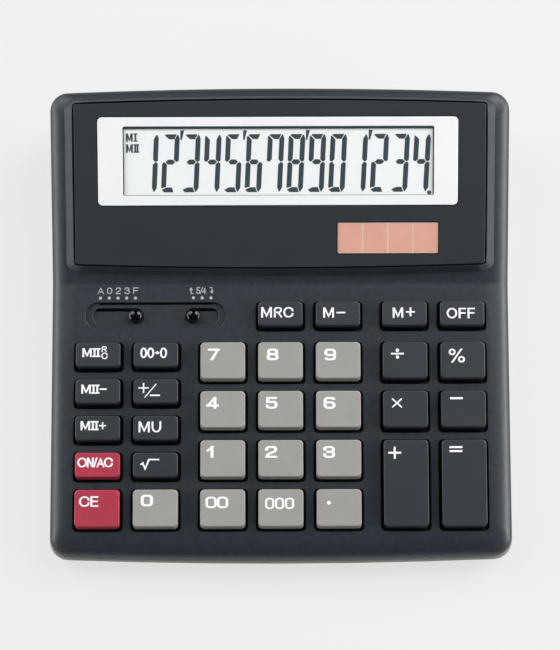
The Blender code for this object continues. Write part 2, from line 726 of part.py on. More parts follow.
def add_upper_case():
    """The top shell: deck, flanks and display hood, with every opening and boss."""
    loops = []
    for step in range(INNER_FLANK_STEPS, -1, -1):
        turn = math.radians(90 * step / INNER_FLANK_STEPS)
        inset = CASE_WALL + INNER_FLANK_WIDTH * (1 - math.cos(turn))
        drop = DECK_THICKNESS + INNER_FLANK_DROP * (1 - math.sin(turn))
        loops.append(draped(case_outline(inset), top_height, -drop))
    loops.append(draped(case_outline(CASE_WALL), parting_height, 0))
    loops.append(draped(case_outline(0), parting_height, 0))
    for step in range(FLANK_STEPS + 1):
        turn = math.radians(90 * step / FLANK_STEPS)
        inset = FLANK_WIDTH * (1 - math.cos(turn))
        drop = FLANK_DROP * (1 - math.sin(turn))
        loops.append(draped(case_outline(inset), top_height, -drop))
    case = add_object("upper_case", skin(loops, crease=True), "charcoal")

    fuse(case, "hood_surround", hood_block(), HOOD)
    pocket = outline(
        PANEL_HALF + PANEL_GAP,
        PANEL_FRONT - PANEL_GAP,
        PANEL_REAR + PANEL_GAP,
        PANEL_CORNER,
        bowed=True,
    )
    cut(
        case,
        "panel_pocket",
        skin([level(pocket, PANEL_SEAT), level(pocket, HOOD_RISE + OVERRUN)]),
        HOOD,
    )
    cut(case, "glass_opening", glass_opening(), HOOD)
    cut(case, "wire_holes", merged([wire_hole(side) for side in (-1, 1)]), HOOD)
    cut(case, "key_openings", key_holes(), DECK)
    cut_switch_slots(case)

    bosses, pilots = [], []
    for _, x, y, joint, _ in screw_stations():
        ceiling = top_height(y) - DECK_THICKNESS / 2
        bosses.append(rod(x, y, joint, ceiling, BOSS_RADIUS))
        pilots.append(rod(x, y, joint - OVERRUN, joint + SCREW_REACH, SCREW_RADIUS + CLEAR))
    for x, y in post_places():
        ceiling, board = top_height(y) - DECK_THICKNESS / 2, top_height(y) + BOARD_TOP
        bosses.append(post(x, y, board, ceiling))
    fuse(case, "bosses", merged(bosses))
    cut(case, "pilot_holes", merged(pilots))
    low = HOLDER_TOP - HOLDER_THICKNESS - PIN_END
    fuse(case, "holder_pins", holder_pins(HOLDER_PIN_RADIUS, low, -DECK_THICKNESS / 2), HOOD)
    smooth(case)


def post(x, y, board, ceiling):
    """A stepped post: its shoulder stops just above the board and its pin passes through."""
    profile = [
        (PIN_RADIUS, board - BOARD_THICKNESS - PIN_END),
        (PIN_RADIUS, board + CLEAR),
        (POST_RADIUS, board + CLEAR),
        (POST_RADIUS, ceiling),
    ]
    shape = turned(profile, DOME_SIDES)
    bmesh.ops.translate(shape, verts=shape.verts, vec=Vector((x, y, 0)))
    return shape


def holder_pins(radius, low, high):
    """The four pins that the display holder hangs on, or the holes for them."""
    x = WINDOW_HALF + GLASS_BORDER + HOLDER_FLANGE / 2
    rear = WINDOW_REAR - GLASS_BORDER
    front = WINDOW_FRONT + GLASS_BORDER
    return merged(
        [
            rod(side * x - BEZEL_SHIFT, v, low, high, radius, DOME_SIDES)
            for side in (-1, 1)
            for v in (front, rear)
        ]
    )


def glass_opening():
    """The hole under the bezel that the display glass sits in."""
    half = WINDOW_HALF + GLASS_BORDER + GLASS_PLAY
    front = WINDOW_FRONT - GLASS_BORDER - GLASS_PLAY
    rear = WINDOW_REAR + GLASS_BORDER + GLASS_PLAY
    return block(
        -BEZEL_SHIFT - half, half - BEZEL_SHIFT, front, rear, -DECK_THICKNESS * 2, HOOD_RISE
    )


def wire_hole(side):
    """A hole behind the solar cell for one of its leads."""
    x, v = SOLAR_X + side * WIRE_SPACING / 2, (SOLAR_FRONT + SOLAR_REAR) / 2
    return rod(x, v, -DECK_THICKNESS * 2, HOOD_RISE, WIRE_HOLE_RADIUS, DOME_SIDES)


def add_lower_case():
    """The tray under the case, with the cell well, screw bosses and foot seats."""
    seam = -CLEAR
    spread = {"spread_front": LEDGE_FRONT, "spread_side": LEDGE_SIDE}
    lip_outer = CASE_WALL + CLEAR
    lip_inner = lip_outer + LIP_WIDTH
    half_ledge = LEDGE_SIDE / 2
    loops = [
        level(case_outline(LOWER_DRAFT + FLOOR_ROUND, **spread), FOOT_STAND),
        level(case_outline(LOWER_DRAFT, **spread), FOOT_STAND + FLOOR_ROUND),
        draped(case_outline(0, **spread), parting_height, seam - LEDGE_DROP),
        draped(case_outline(half_ledge, **spread), parting_height, seam - LEDGE_DROP / 3),
        draped(case_outline(0), parting_height, seam),
        draped(case_outline(lip_outer), parting_height, seam),
        draped(case_outline(lip_outer), parting_height, LIP_HEIGHT),
        draped(case_outline(lip_inner), parting_height, LIP_HEIGHT),
        level(case_outline(lip_inner + LOWER_DRAFT), FLOOR_TOP),
    ]
    case = add_object("lower_case", skin(loops, crease=True), "underside")
    bosses, bores = [], []
    for _, x, y, joint, depth in screw_stations():
        seat = FOOT_STAND + depth
        bosses.append(rod(x, y, FLOOR_TOP - FLOOR_THICKNESS / 2, joint - CLEAR, LOWER_BOSS_RADIUS))
        bores.append(rod(x, y, FOOT_STAND - OVERRUN, seat, SCREW_HEAD_RADIUS + CLEAR))
        bores.append(rod(x, y, seat - OVERRUN, joint + OVERRUN, SCREW_RADIUS + CLEAR))
    fuse(case, "lower_bosses", merged(bosses))
    for number, bore in enumerate(bores):
        cut(case, f"screw_bore_{number}", bore)
    well = block(
        CELL_X - WELL_HALF,
        CELL_X + WELL_HALF,
        WELL_FRONT_Y,
        WELL_REAR_Y,
        FLOOR_TOP - FLOOR_THICKNESS / 2,
        WELL_TOP,
    )
    fuse(case, "cell_well", well)
    cut_cell_well(case)
    seats = [
        rod(x, y, FOOT_STAND - OVERRUN, FOOT_STAND + FOOT_SEAT, FOOT_RADIUS + CLEAR)
        for _, x, y in foot_places()
    ]
    cut(case, "foot_seats", merged(seats))
    smooth(case)


def cut_cell_well(case):
    """The well: the door's opening, the cell's bore, pockets for tongues and contact tails."""
    door = shifted(
        outline(
            DOOR_WIDTH / 2 + CLEAR,
            DOOR_FRONT_Y - CLEAR,
            DOOR_FRONT_Y + DOOR_LENGTH + CLEAR,
            DOOR_CORNER,
            KEY_CORNER_STEPS,
        ),
        CELL_X,
    )
    cut(case, "door_opening", skin([level(door, FOOT_STAND - OVERRUN), level(door, CELL_BOTTOM)]))
    bore = rod(
        CELL_X, CELL_Y, CELL_BOTTOM - OVERRUN, WELL_CEILING, CELL_RADIUS + CELL_PLAY, 2 * ROUND_SIDES
    )
    cut(case, "cell_bore", bore)
    pockets = []
    for side in (-1, 1):
        x = CELL_X + side * TONGUE_SPACING / 2
        left, right = x - TONGUE_WIDTH / 2 - CLEAR, x + TONGUE_WIDTH / 2 + CLEAR
        front = DOOR_FRONT_Y - TONGUE_REACH - 2 * CLEAR
        pockets.append(block(left, right, front, DOOR_FRONT_Y, FLOOR_TOP, WELL_CEILING))
        rear = DOOR_FRONT_Y + TONGUE_SWEEP
        pockets.append(
            block(left, right, DOOR_FRONT_Y - CLEAR, rear, FOOT_STAND, WELL_CEILING)
        )
    for number, pocket in enumerate(pockets):
        cut(case, f"tongue_pocket_{number}", pocket)
    tails = [
        contact_tail_hole(rim_contact_place(), CELL_BOTTOM, WELL_TOP + OVERRUN),
        contact_tail_hole(top_contact_place(), CELL_TOP, WELL_TOP + OVERRUN),
    ]
    cut(case, "contact_tail_holes", merged(tails))


def rim_contact_place():
    """The middle of the spring that touches the cell's rim."""
    return CELL_X - CELL_RADIUS - CLEAR - CONTACT_THICKNESS / 2, CELL_Y


def top_contact_place():
    """Where the tail of the top contact passes the well's roof."""
    return CELL_X + CELL_RADIUS / 2, CELL_Y


def contact_tail_hole(place, low, high):
    """A slot round a contact's tail."""
    x, y = place
    half, wide = CONTACT_THICKNESS / 2 + CLEAR, CONTACT_WIDTH / 2 + CLEAR
    return block(x - half, x + half, y - wide, y + wide, low, high)


def foot_places():
    """(name, x, y) of the four feet."""
    x = HALF_WIDTH - FOOT_INSET
    return [
        ("foot_front_left", -x, FRONT_Y + FOOT_INSET),
        ("foot_front_right", x, FRONT_Y + FOOT_INSET),
        ("foot_rear_left", -x, REAR_Y - FOOT_INSET),
        ("foot_rear_right", x, REAR_Y - FOOT_INSET),
    ]


def add_feet():
    """Round rubber feet, pressed into shallow seats."""
    top = FOOT_STAND + FOOT_SEAT - CLEAR
    profile = [(FOOT_RADIUS - FOOT_EDGE, 0), (FOOT_RADIUS, FOOT_EDGE), (FOOT_RADIUS, top)]
    for name, x, y in foot_places():
        smooth(add_object(name, turned(profile), "rubber", Matrix.Translation((x, y, 0))))


def add_screws():
    """Self-tapping screws that hold the two halves together."""
    for name, x, y, joint, depth in screw_stations():
        seat = FOOT_STAND + depth - CLEAR
        tip = joint + SCREW_REACH - CLEAR
        profile = [
            (SCREW_HEAD_RADIUS, seat - SCREW_HEAD_HEIGHT),
            (SCREW_HEAD_RADIUS, seat),
            (SCREW_RADIUS, seat),
            (SCREW_RADIUS, tip - SCREW_RADIUS),
            (SCREW_RADIUS / 3, tip),
        ]
        screw = add_object(name, turned(profile, 12), "steel", Matrix.Translation((x, y, 0)))
        base = seat - SCREW_HEAD_HEIGHT
        long, wide = SCREW_HEAD_RADIUS * 0.7, SCREW_SLOT_WIDTH / 2
        for number, (a, b) in enumerate(((long, wide), (wide, long))):
            slot = block(-a, a, -b, b, base - OVERRUN, base + SCREW_SLOT_DEPTH)
            cut(screw, f"{name}_slot_{number}", slot, Matrix.Translation((x, y, 0)))
        smooth(screw)


def add_display():
    """The face panel, its white bezel, the glass, its holder and the solar cell."""
    points = outline(PANEL_HALF, PANEL_FRONT, PANEL_REAR, PANEL_CORNER, bowed=True)
    inner = outline(
        PANEL_HALF - PANEL_EDGE,
        PANEL_FRONT + PANEL_EDGE,
        PANEL_REAR - PANEL_EDGE,
        PANEL_CORNER,
        bowed=True,
    )
    low = PANEL_SEAT + CLEAR
    plate = skin(
        [level(points, low), level(points, HOOD_RISE - PANEL_EDGE), level(inner, HOOD_RISE)]
    )
    panel = add_object("display_panel", plate, "panel", HOOD)
    opening = shifted(
        outline(
            BEZEL_WIDTH / 2 + CLEAR, BEZEL_FRONT - CLEAR, BEZEL_REAR + CLEAR, BEZEL_CORNER + CLEAR
        ),
        -BEZEL_SHIFT,
    )
    cut(panel, "bezel_opening", skin([level(opening, 0), level(opening, 2 * HOOD_RISE)]), HOOD)
    solar = block(
        SOLAR_X - SOLAR_WIDTH / 2 - CLEAR,
        SOLAR_X + SOLAR_WIDTH / 2 + CLEAR,
        SOLAR_FRONT - CLEAR,
        SOLAR_REAR + CLEAR,
        0,
        2 * HOOD_RISE,
    )
    cut(panel, "solar_opening", solar, HOOD)

    top = HOOD_RISE + BEZEL_RISE
    body = outline(BEZEL_WIDTH / 2, BEZEL_FRONT, BEZEL_REAR, BEZEL_CORNER)
    face = outline(
        BEZEL_WIDTH / 2 - BEZEL_RISE, BEZEL_FRONT + BEZEL_RISE, BEZEL_REAR - BEZEL_RISE, BEZEL_CORNER
    )
    ring = skin([level(body, low), level(body, HOOD_RISE), level(face, top)])
    place = HOOD @ Matrix.Translation((-BEZEL_SHIFT, 0, 0))
    bezel = add_object("display_bezel", ring, "white", place)
    window = outline(WINDOW_HALF, WINDOW_FRONT, WINDOW_REAR, WINDOW_CORNER, KEY_CORNER_STEPS)
    cut(bezel, "window", skin([level(window, 0), level(window, 2 * HOOD_RISE)]), place)

    half = WINDOW_HALF + GLASS_BORDER
    front, rear = WINDOW_FRONT - GLASS_BORDER, WINDOW_REAR + GLASS_BORDER
    glass = block(-half, half, front, rear, GLASS_BOTTOM, GLASS_TOP)
    add_object("display_glass", glass, "glass", place)

    strip = front + CONTACT_STRIP
    under = HOLDER_TOP
    holder = add_object(
        "display_holder",
        block(
            -half - HOLDER_FLANGE,
            half + HOLDER_FLANGE,
            strip,
            rear + GLASS_PLAY + HOLDER_FLANGE,
            under - HOLDER_THICKNESS,
            under,
        ),
        "white",
        place,
    )
    pad = block(-half, half, strip + CLEAR, rear, under - HOLDER_THICKNESS / 2, GLASS_BOTTOM - CLEAR)
    fuse(holder, "holder_pad", pad, place)
    holes = holder_pins(HOLDER_PIN_RADIUS + CLEAR, under - HOLDER_THICKNESS * 2, 0)
    cut(holder, "holder_holes", holes, HOOD)

    cell = block(
        SOLAR_X - SOLAR_WIDTH / 2,
        SOLAR_X + SOLAR_WIDTH / 2,
        SOLAR_FRONT,
        SOLAR_REAR,
        PANEL_SEAT + CLEAR,
        HOOD_RISE - SOLAR_SINK,
    )
    add_object("solar_cell", cell, "solar", HOOD)


def add_mat():
    """The rubber sheet with a dome under each key, drawn as pressed flat so that keys can travel."""
    switch_front = KEYS_REAR + KEY_GAP / 2
    right = RECESS_RIGHT + CLEAR
    corners = [
        (-MAT_HALF, MAT_FRONT),
        (MAT_HALF, MAT_FRONT),
        (MAT_HALF, MAT_REAR),
        (right, MAT_REAR),
        (right, switch_front),
        (-MAT_HALF, switch_front),
    ]
    sheet = skin([level(corners, MAT_TOP - MAT_THICKNESS), level(corners, MAT_TOP)])
    mat = add_object("keypad_mat", sheet, "mat", DECK)
    domes = []
    for _, column, kind, rows, _ in KEYS:
        x, v = key_place(column, kind, rows)
        profile = [
            (DOME_RADIUS + DOME_SPREAD, MAT_TOP - MAT_THICKNESS / 2),
            (DOME_RADIUS, MAT_TOP + DOME_HEIGHT),
        ]
        dome = turned(profile, DOME_SIDES)
        bmesh.ops.translate(dome, verts=dome.verts, vec=Vector((x, v, 0)))
        domes.append(dome)
    fuse(mat, "domes", merged(domes), DECK)
    holes = [rod(x, y, 0, CREASE_Z, POST_RADIUS + 2 * CLEAR, DOME_SIDES) for x, y in post_places()]
    holes += [
        rod(x, y, 0, CREASE_Z, BOSS_RADIUS + 2 * CLEAR)
        for _, x, y, _, _ in screw_stations()
        if y < CREASE_Y
    ]
    cut(mat, "mat_holes", merged(holes))


def add_board():
    """The circuit board with its chip and capacitor, hung on the posts."""
    plate = block(-BOARD_HALF, BOARD_HALF, BOARD_FRONT, BOARD_REAR, BOARD_BOTTOM, BOARD_TOP)
    board = add_object("circuit_board", plate, "board", DECK)
    holes = [rod(x, y, 0, CREASE_Z, PIN_RADIUS + CLEAR, DOME_SIDES) for x, y in post_places()]
    holes += [
        rod(x, y, 0, CREASE_Z, BOSS_RADIUS + 2 * CLEAR)
        for _, x, y, _, _ in screw_stations()
        if y < CREASE_Y
    ]
    holes += [
        contact_tail_hole(place, 0, CREASE_Z) for place in (rim_contact_place(), top_contact_place())
    ]
    cut(board, "board_holes", merged(holes))

    under = BOARD_BOTTOM - CLEAR
    profile = [
        (CHIP_RADIUS * 0.55, under - CHIP_HEIGHT),
        (CHIP_RADIUS * 0.85, under - CHIP_HEIGHT * 0.7),
        (CHIP_RADIUS, under),
    ]
    chip_v = KEYS_REAR - ROW_PITCH
    place = DECK @ Matrix.Translation((0, chip_v, 0))
    smooth(add_object("processor_chip", turned(profile), "epoxy", place))
    can = turned(
        [(CAPACITOR_RADIUS, -CAPACITOR_LENGTH / 2), (CAPACITOR_RADIUS, CAPACITOR_LENGTH / 2)], 12
    )
    lying = DECK @ Matrix.Translation((CAPACITOR_X, chip_v, under - CAPACITOR_RADIUS))
    lying = lying @ Matrix.Rotation(math.radians(90), 4, "X")
    smooth(add_object("capacitor", can, "sleeve", lying))


def add_switch(name, x, low, high):
    """A slide switch at x: knob, stem through the slit, and a carriage that covers the slit.

    The carriage runs from low to high under the deck and carries the wiper leg.
    """
    collar = SLOT_FLOOR + CLEAR
    profile = [(KNOB_RADIUS, collar), (KNOB_RADIUS, collar + KNOB_COLLAR)]
    for ring in range(1, KNOB_RINGS + 1):
        turn = math.radians(90 * ring / (KNOB_RINGS + 1))
        height = collar + KNOB_COLLAR + KNOB_RADIUS * math.sin(turn)
        profile.append((KNOB_RADIUS * math.cos(turn), height))
    place = DECK @ Matrix.Translation((x, SWITCH_V, 0))
    switch = add_object(name, turned(profile), "knob", place)
    half = SLIT_WIDTH / 2 - CLEAR
    slit = SLIT_V - SWITCH_V
    top, bottom = collar + KNOB_COLLAR / 2, RIM_TOP - CARRIAGE_THICKNESS
    stem = block(-STEM_WIDTH / 2, STEM_WIDTH / 2, slit - half, slit + half, bottom, top)
    fuse(switch, name + "_stem", stem, place)
    depth = CARRIAGE_DEPTH / 2
    plate = block(low - x, high - x, -depth, depth, bottom, RIM_TOP)
    fuse(switch, name + "_carriage", plate, place)
    leg = block(
        -WIPER_LEG / 2, WIPER_LEG / 2, -WIPER_LEG / 2, WIPER_LEG / 2, BOARD_TOP + CLEAR, RIM_TOP - CLEAR
    )
    fuse(switch, name + "_wiper", leg, place)
    smooth(switch)


def add_cell_and_contacts():
    """The coin cell and the two springs that touch its rim and its top."""
    height = CELL_THICKNESS
    profile = [
        (CELL_RADIUS - CELL_EDGE, 0),
        (CELL_RADIUS, CELL_EDGE),
        (CELL_RADIUS, height - CELL_EDGE),
        (CELL_RADIUS - CELL_EDGE, height),
    ]
    place = Matrix.Translation((CELL_X, CELL_Y, CELL_BOTTOM))
    smooth(add_object("coin_cell", turned(profile, 2 * ROUND_SIDES), "steel", place))

    x, y = rim_contact_place()
    half, wide = CONTACT_THICKNESS / 2, CONTACT_WIDTH / 2
    tip = top_height(CELL_Y) + BOARD_TOP - BOARD_THICKNESS / 3
    rim = block(x - half, x + half, y - wide, y + wide, CELL_BOTTOM + CLEAR, tip)
    add_object("battery_contact_rim", rim, "steel")
    x, y = top_contact_place()
    low = CELL_TOP + CLEAR
    top = add_object(
        "battery_contact_top",
        block(CELL_X - CELL_RADIUS / 2, x + half, y - wide, y + wide, low, low + CONTACT_THICKNESS),
        "steel",
    )
    tail = block(x - half, x + half, y - wide, y + wide, low, tip)
    fuse(top, "top_contact_tail", tail)


def add_door():
    """The cell door, hinged on two tongues at its front edge, origin on the pivot line."""
    points = outline(DOOR_WIDTH / 2, 0, DOOR_LENGTH, DOOR_CORNER, KEY_CORNER_STEPS)
    place = Matrix.Translation((CELL_X, DOOR_FRONT_Y, FOOT_STAND))
    door = add_object(
        "battery_door", skin([level(points, 0), level(points, DOOR_THICKNESS)]), "underside", place
    )
    low, high = TONGUE_TOP - TONGUE_THICKNESS, TONGUE_TOP
    for side, word in ((-1, "left"), (1, "right")):
        middle = side * TONGUE_SPACING / 2
        left, right = middle - TONGUE_WIDTH / 2, middle + TONGUE_WIDTH / 2
        riser = block(left, right, 0, TONGUE_REACH, DOOR_THICKNESS / 2, high)
        fuse(door, word + "_riser", riser, place)
        tongue = block(left, right, -TONGUE_REACH, TONGUE_REACH / 2, low, high)
        fuse(door, word + "_tongue", tongue, place)
    notch = rod(
        0, DOOR_LENGTH, -OVERRUN, NAIL_NOTCH_DEPTH, NAIL_NOTCH_RADIUS
    )
    cut(door, "nail_notch", notch, place)


def on_hood(x, v, w):
    return HOOD @ Vector((x, v, w))


def on_deck(x, v, w):
    return DECK @ Vector((x, v, w))


def add_ribbon():
    """The flat heat-sealed connector from the display's front edge to the board."""
    half = RIBBON_THICKNESS / 2
    ledge = WINDOW_FRONT - GLASS_BORDER
    w = GLASS_BOTTOM - CLEAR - half
    start = on_hood(0, ledge + CLEAR, w)
    bend = on_hood(0, ledge + CONTACT_STRIP - 3 * CLEAR, w)
    lap = on_deck(0, BOARD_REAR - CLEAR, BOARD_TOP + CLEAR + half)
    end = on_deck(0, BOARD_REAR - RIBBON_LAP, BOARD_TOP + CLEAR + half)
    drop = bend - Vector((0, 0, (bend.z - lap.z) * 0.7))
    sweep = lap + (lap - end) * 1.5
    middle = interpolate_bezier(bend, drop, sweep, lap, 10)
    path = [start] + list(middle) + [end]
    over, under = [], []
    for i, point in enumerate(path):
        along = path[min(i + 1, len(path) - 1)] - path[max(i - 1, 0)]
        side = Vector((0, -along.z, along.y)).normalized() * half
        over.append(point + side)
        under.append(point - side)
    section = over + under[::-1]
    loops = [
        [(RIBBON_X + edge * RIBBON_WIDTH / 2, p.y, p.z) for p in section] for edge in (-1, 1)
    ]
    add_object("display_ribbon", skin(loops), "ribbon")


def add_solar_leads():
    """Two insulated wires from the back of the solar cell to the board."""
    v = (SOLAR_FRONT + SOLAR_REAR) / 2
    for side, name, finish in ((-1, "solar_lead_minus", "wire_black"), (1, "solar_lead_plus", "wire_red")):
        x = SOLAR_X + side * WIRE_SPACING / 2
        start = on_hood(x, v, PANEL_SEAT)
        below = on_hood(x, v, -3 * DECK_THICKNESS)
        end = on_deck(x, BOARD_REAR / 2, BOARD_TOP + CLEAR + WIRE_RADIUS)
        rise = end + (end - on_deck(x, 0, BOARD_TOP + CLEAR + WIRE_RADIUS)) * 3
        points = [start] + list(interpolate_bezier(on_hood(x, v, -DECK_THICKNESS), below, rise, end, 9))
        curve = bpy.data.curves.new(name, "CURVE")
        curve.dimensions = "3D"
        curve.bevel_depth = WIRE_RADIUS
        curve.bevel_resolution = 1
        curve.use_fill_caps = True
        spline = curve.splines.new("POLY")
        spline.points.add(len(points) - 1)
        for target, point in zip(spline.points, points):
            target.co = (*point, 1)
        curve.materials.append(finish_material(finish))
        wire = bpy.data.objects.new(name, curve)
        bpy.context.scene.collection.objects.link(wire)


def main():
    for old in list(bpy.data.objects):
        bpy.data.objects.remove(old)
    add_upper_case()
    add_lower_case()
    add_display()
    add_keys()
    add_mat()
    add_board()
    left = DECIMAL_TRAVEL - HALF_WIDTH + CARRIAGE_MARGIN
    middle = ROUNDING_FIRST - ROUNDING_TRAVEL - STEM_WIDTH / 2 - CLEAR
    right = ROUNDING_LAST + SLOT_RADIUS / 2 + CLEAR
    add_switch("decimal_switch", DECIMAL_LAST, left, middle - 2 * CLEAR)
    add_switch("rounding_switch", ROUNDING_FIRST, middle, right)
    add_cell_and_contacts()
    add_door()
    add_feet()
    add_screws()
    add_ribbon()
    add_solar_leads()


main()
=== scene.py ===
"""The looks of a desktop calculator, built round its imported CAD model.

Places on the two tilted tops are (x, v, w): x to the right, v up the slope from the crease
between them and w off the surface. Sizes are written in millimetres times MM, as on a drawing.
"""

import logging
import math
from contextlib import contextmanager
from dataclasses import dataclass, field
from enum import Enum
from typing import Callable, Iterator, NamedTuple, Sequence

import bmesh
import bpy
from mathutils import Matrix, Vector


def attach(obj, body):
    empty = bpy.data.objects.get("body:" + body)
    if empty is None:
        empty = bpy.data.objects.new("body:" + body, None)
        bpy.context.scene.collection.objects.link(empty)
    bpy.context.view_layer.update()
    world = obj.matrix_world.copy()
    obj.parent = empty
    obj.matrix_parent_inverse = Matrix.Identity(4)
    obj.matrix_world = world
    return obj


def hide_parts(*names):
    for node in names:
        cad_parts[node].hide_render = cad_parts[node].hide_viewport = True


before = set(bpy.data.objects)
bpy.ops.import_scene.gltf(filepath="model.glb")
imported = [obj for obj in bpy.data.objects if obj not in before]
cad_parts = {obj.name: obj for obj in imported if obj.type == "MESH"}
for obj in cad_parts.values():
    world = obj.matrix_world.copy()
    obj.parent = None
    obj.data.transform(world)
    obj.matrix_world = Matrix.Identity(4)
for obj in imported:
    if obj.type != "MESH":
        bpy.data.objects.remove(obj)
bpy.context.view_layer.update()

logging.basicConfig(level=logging.INFO, format="%(levelname)s %(message)s")
LOG = logging.getLogger("calculator")

MM = 0.001
# The line where the deck's plane meets the hood's, and their tilts
CREASE_Y = 14.262 * MM
CREASE_Z = 19.862 * MM
DECK_ANGLE = math.radians(4.0)
HOOD_ANGLE = math.radians(14.7)
DECK_THICKNESS = 2.0 * MM
# The gap between pieces that touch
CLEAR = 0.3 * MM
# The shallow bow of front and rear edges, and the points that carry it
BOW_RADIUS = 1900 * MM
BOW_CUTS = 23
# Keeps two round corners from meeting in one point
ALMOST = 0.999
# How deep ink sinks into its carrier, and how far a cutter runs past what it cuts
HIDDEN = 0.02 * MM
OVERRUN = 1.0 * MM
# Points closer than this are one
MERGE = 0.001 * MM
# A shift below this is only rounding
NOTHING = 1e-9


def plane_matrix(angle: float) -> Matrix:
    """The place of a top that is tilted by this angle at the crease."""
    return Matrix.Translation((0, CREASE_Y, CREASE_Z)) @ Matrix.Rotation(angle, 4, "X")


class Top(Enum):
    """The two tilted surfaces that pieces are placed on."""

    DECK = "deck"
    HOOD = "hood"

    @property
    def matrix(self) -> Matrix:
        """From (x, v, w) on this surface to the world."""
        return plane_matrix(DECK_ANGLE if self is Top.DECK else HOOD_ANGLE)


class Slot(Enum):
    """Names of the material slots, passed along with each new piece."""

    CHARCOAL = "charcoal"
    PANEL = "panel"
    UNDERSIDE = "underside"
    DARK = "dark"
    LIGHT = "light"
    RED = "red"
    WHITE = "white"
    GLASS = "glass"
    SOLAR = "solar"
    KNOB = "knob"


# Finishes


def linear(code: str) -> tuple[float, float, float, float]:
    """An sRGB hex colour in Blender's linear values.

    Args:
        code: six hex digits after a hash.
    Returns:
        Red, green, blue and alpha.
    """
    parts = [int(code[i : i + 2], 16) / 255 for i in (1, 3, 5)]
    turned = [c / 12.92 if c <= 0.04045 else ((c + 0.055) / 1.055) ** 2.4 for c in parts]
    return (*turned, 1.0)


def add_node(
    tree: bpy.types.NodeTree,
    kind: str,
    inputs: dict[str, object] | None = None,
    links: dict[str, bpy.types.NodeSocket] | None = None,
    **settings: object,
) -> bpy.types.Node:
    """Adds a node with its settings, its plain values and its links.

    Args:
        tree: the material's or world's nodes.
        kind: the node's type.
        inputs: values by socket name.
        links: output sockets by the name of the socket that they feed.
        settings: the node's own properties.
    Returns:
        The new node.
    """
    node = tree.nodes.new(kind)
    for name, value in settings.items():
        setattr(node, name, value)
    for name, value in (inputs or {}).items():
        node.inputs[name].default_value = value
    for name, socket in (links or {}).items():
        tree.links.new(socket, node.inputs[name])
    return node


@dataclass(frozen=True)
class Finish:
    """A surface with grain and a faint mottle, the base of the moulded and printed finishes.

    Real grain is finer than 0.1 mm and is drawn at 0.3 mm, as coarse as it needs to show.
    """

    name: str
    colour: str
    roughness: float = 0.5
    metallic: float = 0.0
    ior: float = 1.5
    specular: float = 0.5
    coat: float = 0.0
    coat_roughness: float = 0.1
    grain: float = 0.3 * MM
    depth: float = 0.01 * MM
    mottle: float = 0.06
    mottle_size: float = 9 * MM
    patch_edges: tuple = (0.3, 0.7)

    def shader(self, tree: bpy.types.NodeTree) -> bpy.types.Node:
        """The Principled shader with the finish's even values.

        Args:
            tree: the material's nodes.
        Returns:
            The shader.
        """
        inputs = {
            "Base Color": linear(self.colour),
            "Roughness": self.roughness,
            "Metallic": self.metallic,
            "Specular IOR Level": self.specular,
            "Coat Weight": self.coat,
            "Coat Roughness": self.coat_roughness,
        }
        if not self.metallic:
            inputs["IOR"] = self.ior
        return add_node(tree, "ShaderNodeBsdfPrincipled", inputs)

    def tint(self, tree: bpy.types.NodeTree, place: bpy.types.NodeSocket) -> bpy.types.NodeSocket:
        """The colour, a little lighter and darker in soft patches.

        Args:
            tree: the material's nodes.
            place: the Object coordinates.
        Returns:
            The colour's socket.
        """
        noise = add_node(
            tree,
            "ShaderNodeTexNoise",
            {"Scale": 1 / self.mottle_size, "Detail": 3.0},
            {"Vector": place},
        )
        ramp = add_node(tree, "ShaderNodeValToRGB", links={"Fac": noise.outputs["Fac"]})
        for side, edge, stop in zip((-1, 1), self.patch_edges, ramp.color_ramp.elements):
            stop.position = edge
            stop.color = scaled(self.colour, 1 + side * self.mottle)
        return ramp.outputs["Color"]

    def relief(self, tree: bpy.types.NodeTree, place: bpy.types.NodeSocket) -> bpy.types.NodeSocket:
        """The height of the surface's grain, from 0 to 1.

        Args:
            tree: the material's nodes.
            place: the Object coordinates.
        Returns:
            The height's socket.
        """
        noise = add_node(
            tree,
            "ShaderNodeTexNoise",
            {"Scale": 1 / self.grain, "Detail": 2.0, "Roughness": 0.6},
            {"Vector": place},
        )
        return noise.outputs["Fac"]

    def material(self) -> bpy.types.Material:
        """The material, made once.

        Returns:
            The material of this name.
        """
        if self.name in bpy.data.materials:
            return bpy.data.materials[self.name]
        material = bpy.data.materials.new(self.name)
        material.use_nodes = True
        tree = material.node_tree
        tree.nodes.clear()
        place = add_node(tree, "ShaderNodeTexCoord").outputs["Object"]
        shader = self.shader(tree)
        tree.links.new(self.tint(tree, place), shader.inputs["Base Color"])
        bump = add_node(
            tree,
            "ShaderNodeBump",
            {"Distance": self.depth},
            {"Height": self.relief(tree, place)},
        )
        tree.links.new(bump.outputs["Normal"], shader.inputs["Normal"])
        add_node(tree, "ShaderNodeOutputMaterial", links={"Surface": shader.outputs["BSDF"]})
        material.diffuse_color = linear(self.colour)
        return material


def scaled(code: str, factor: float) -> tuple[float, float, float, float]:
    """A hex colour in linear values, made lighter or darker by a factor."""
    red, green, blue, _ = linear(code)
    return (red * factor, green * factor, blue * factor, 1.0)


def looked_at(tree: bpy.types.NodeTree) -> bpy.types.NodeSocket:
    """1 for camera, glossy and transmission rays, and 0 for those that carry light.

    Args:
        tree: the material's or world's nodes.
    Returns:
        The socket of that number.
    """
    rays = add_node(tree, "ShaderNodeLightPath")
    seen = rays.outputs["Is Camera Ray"]
    for kind in ("Is Glossy Ray", "Is Transmission Ray"):
        both = add_node(tree, "ShaderNodeMath", operation="MAXIMUM")
        tree.links.new(seen, both.inputs[0])
        tree.links.new(rays.outputs[kind], both.inputs[1])
        seen = both.outputs["Value"]
    return seen


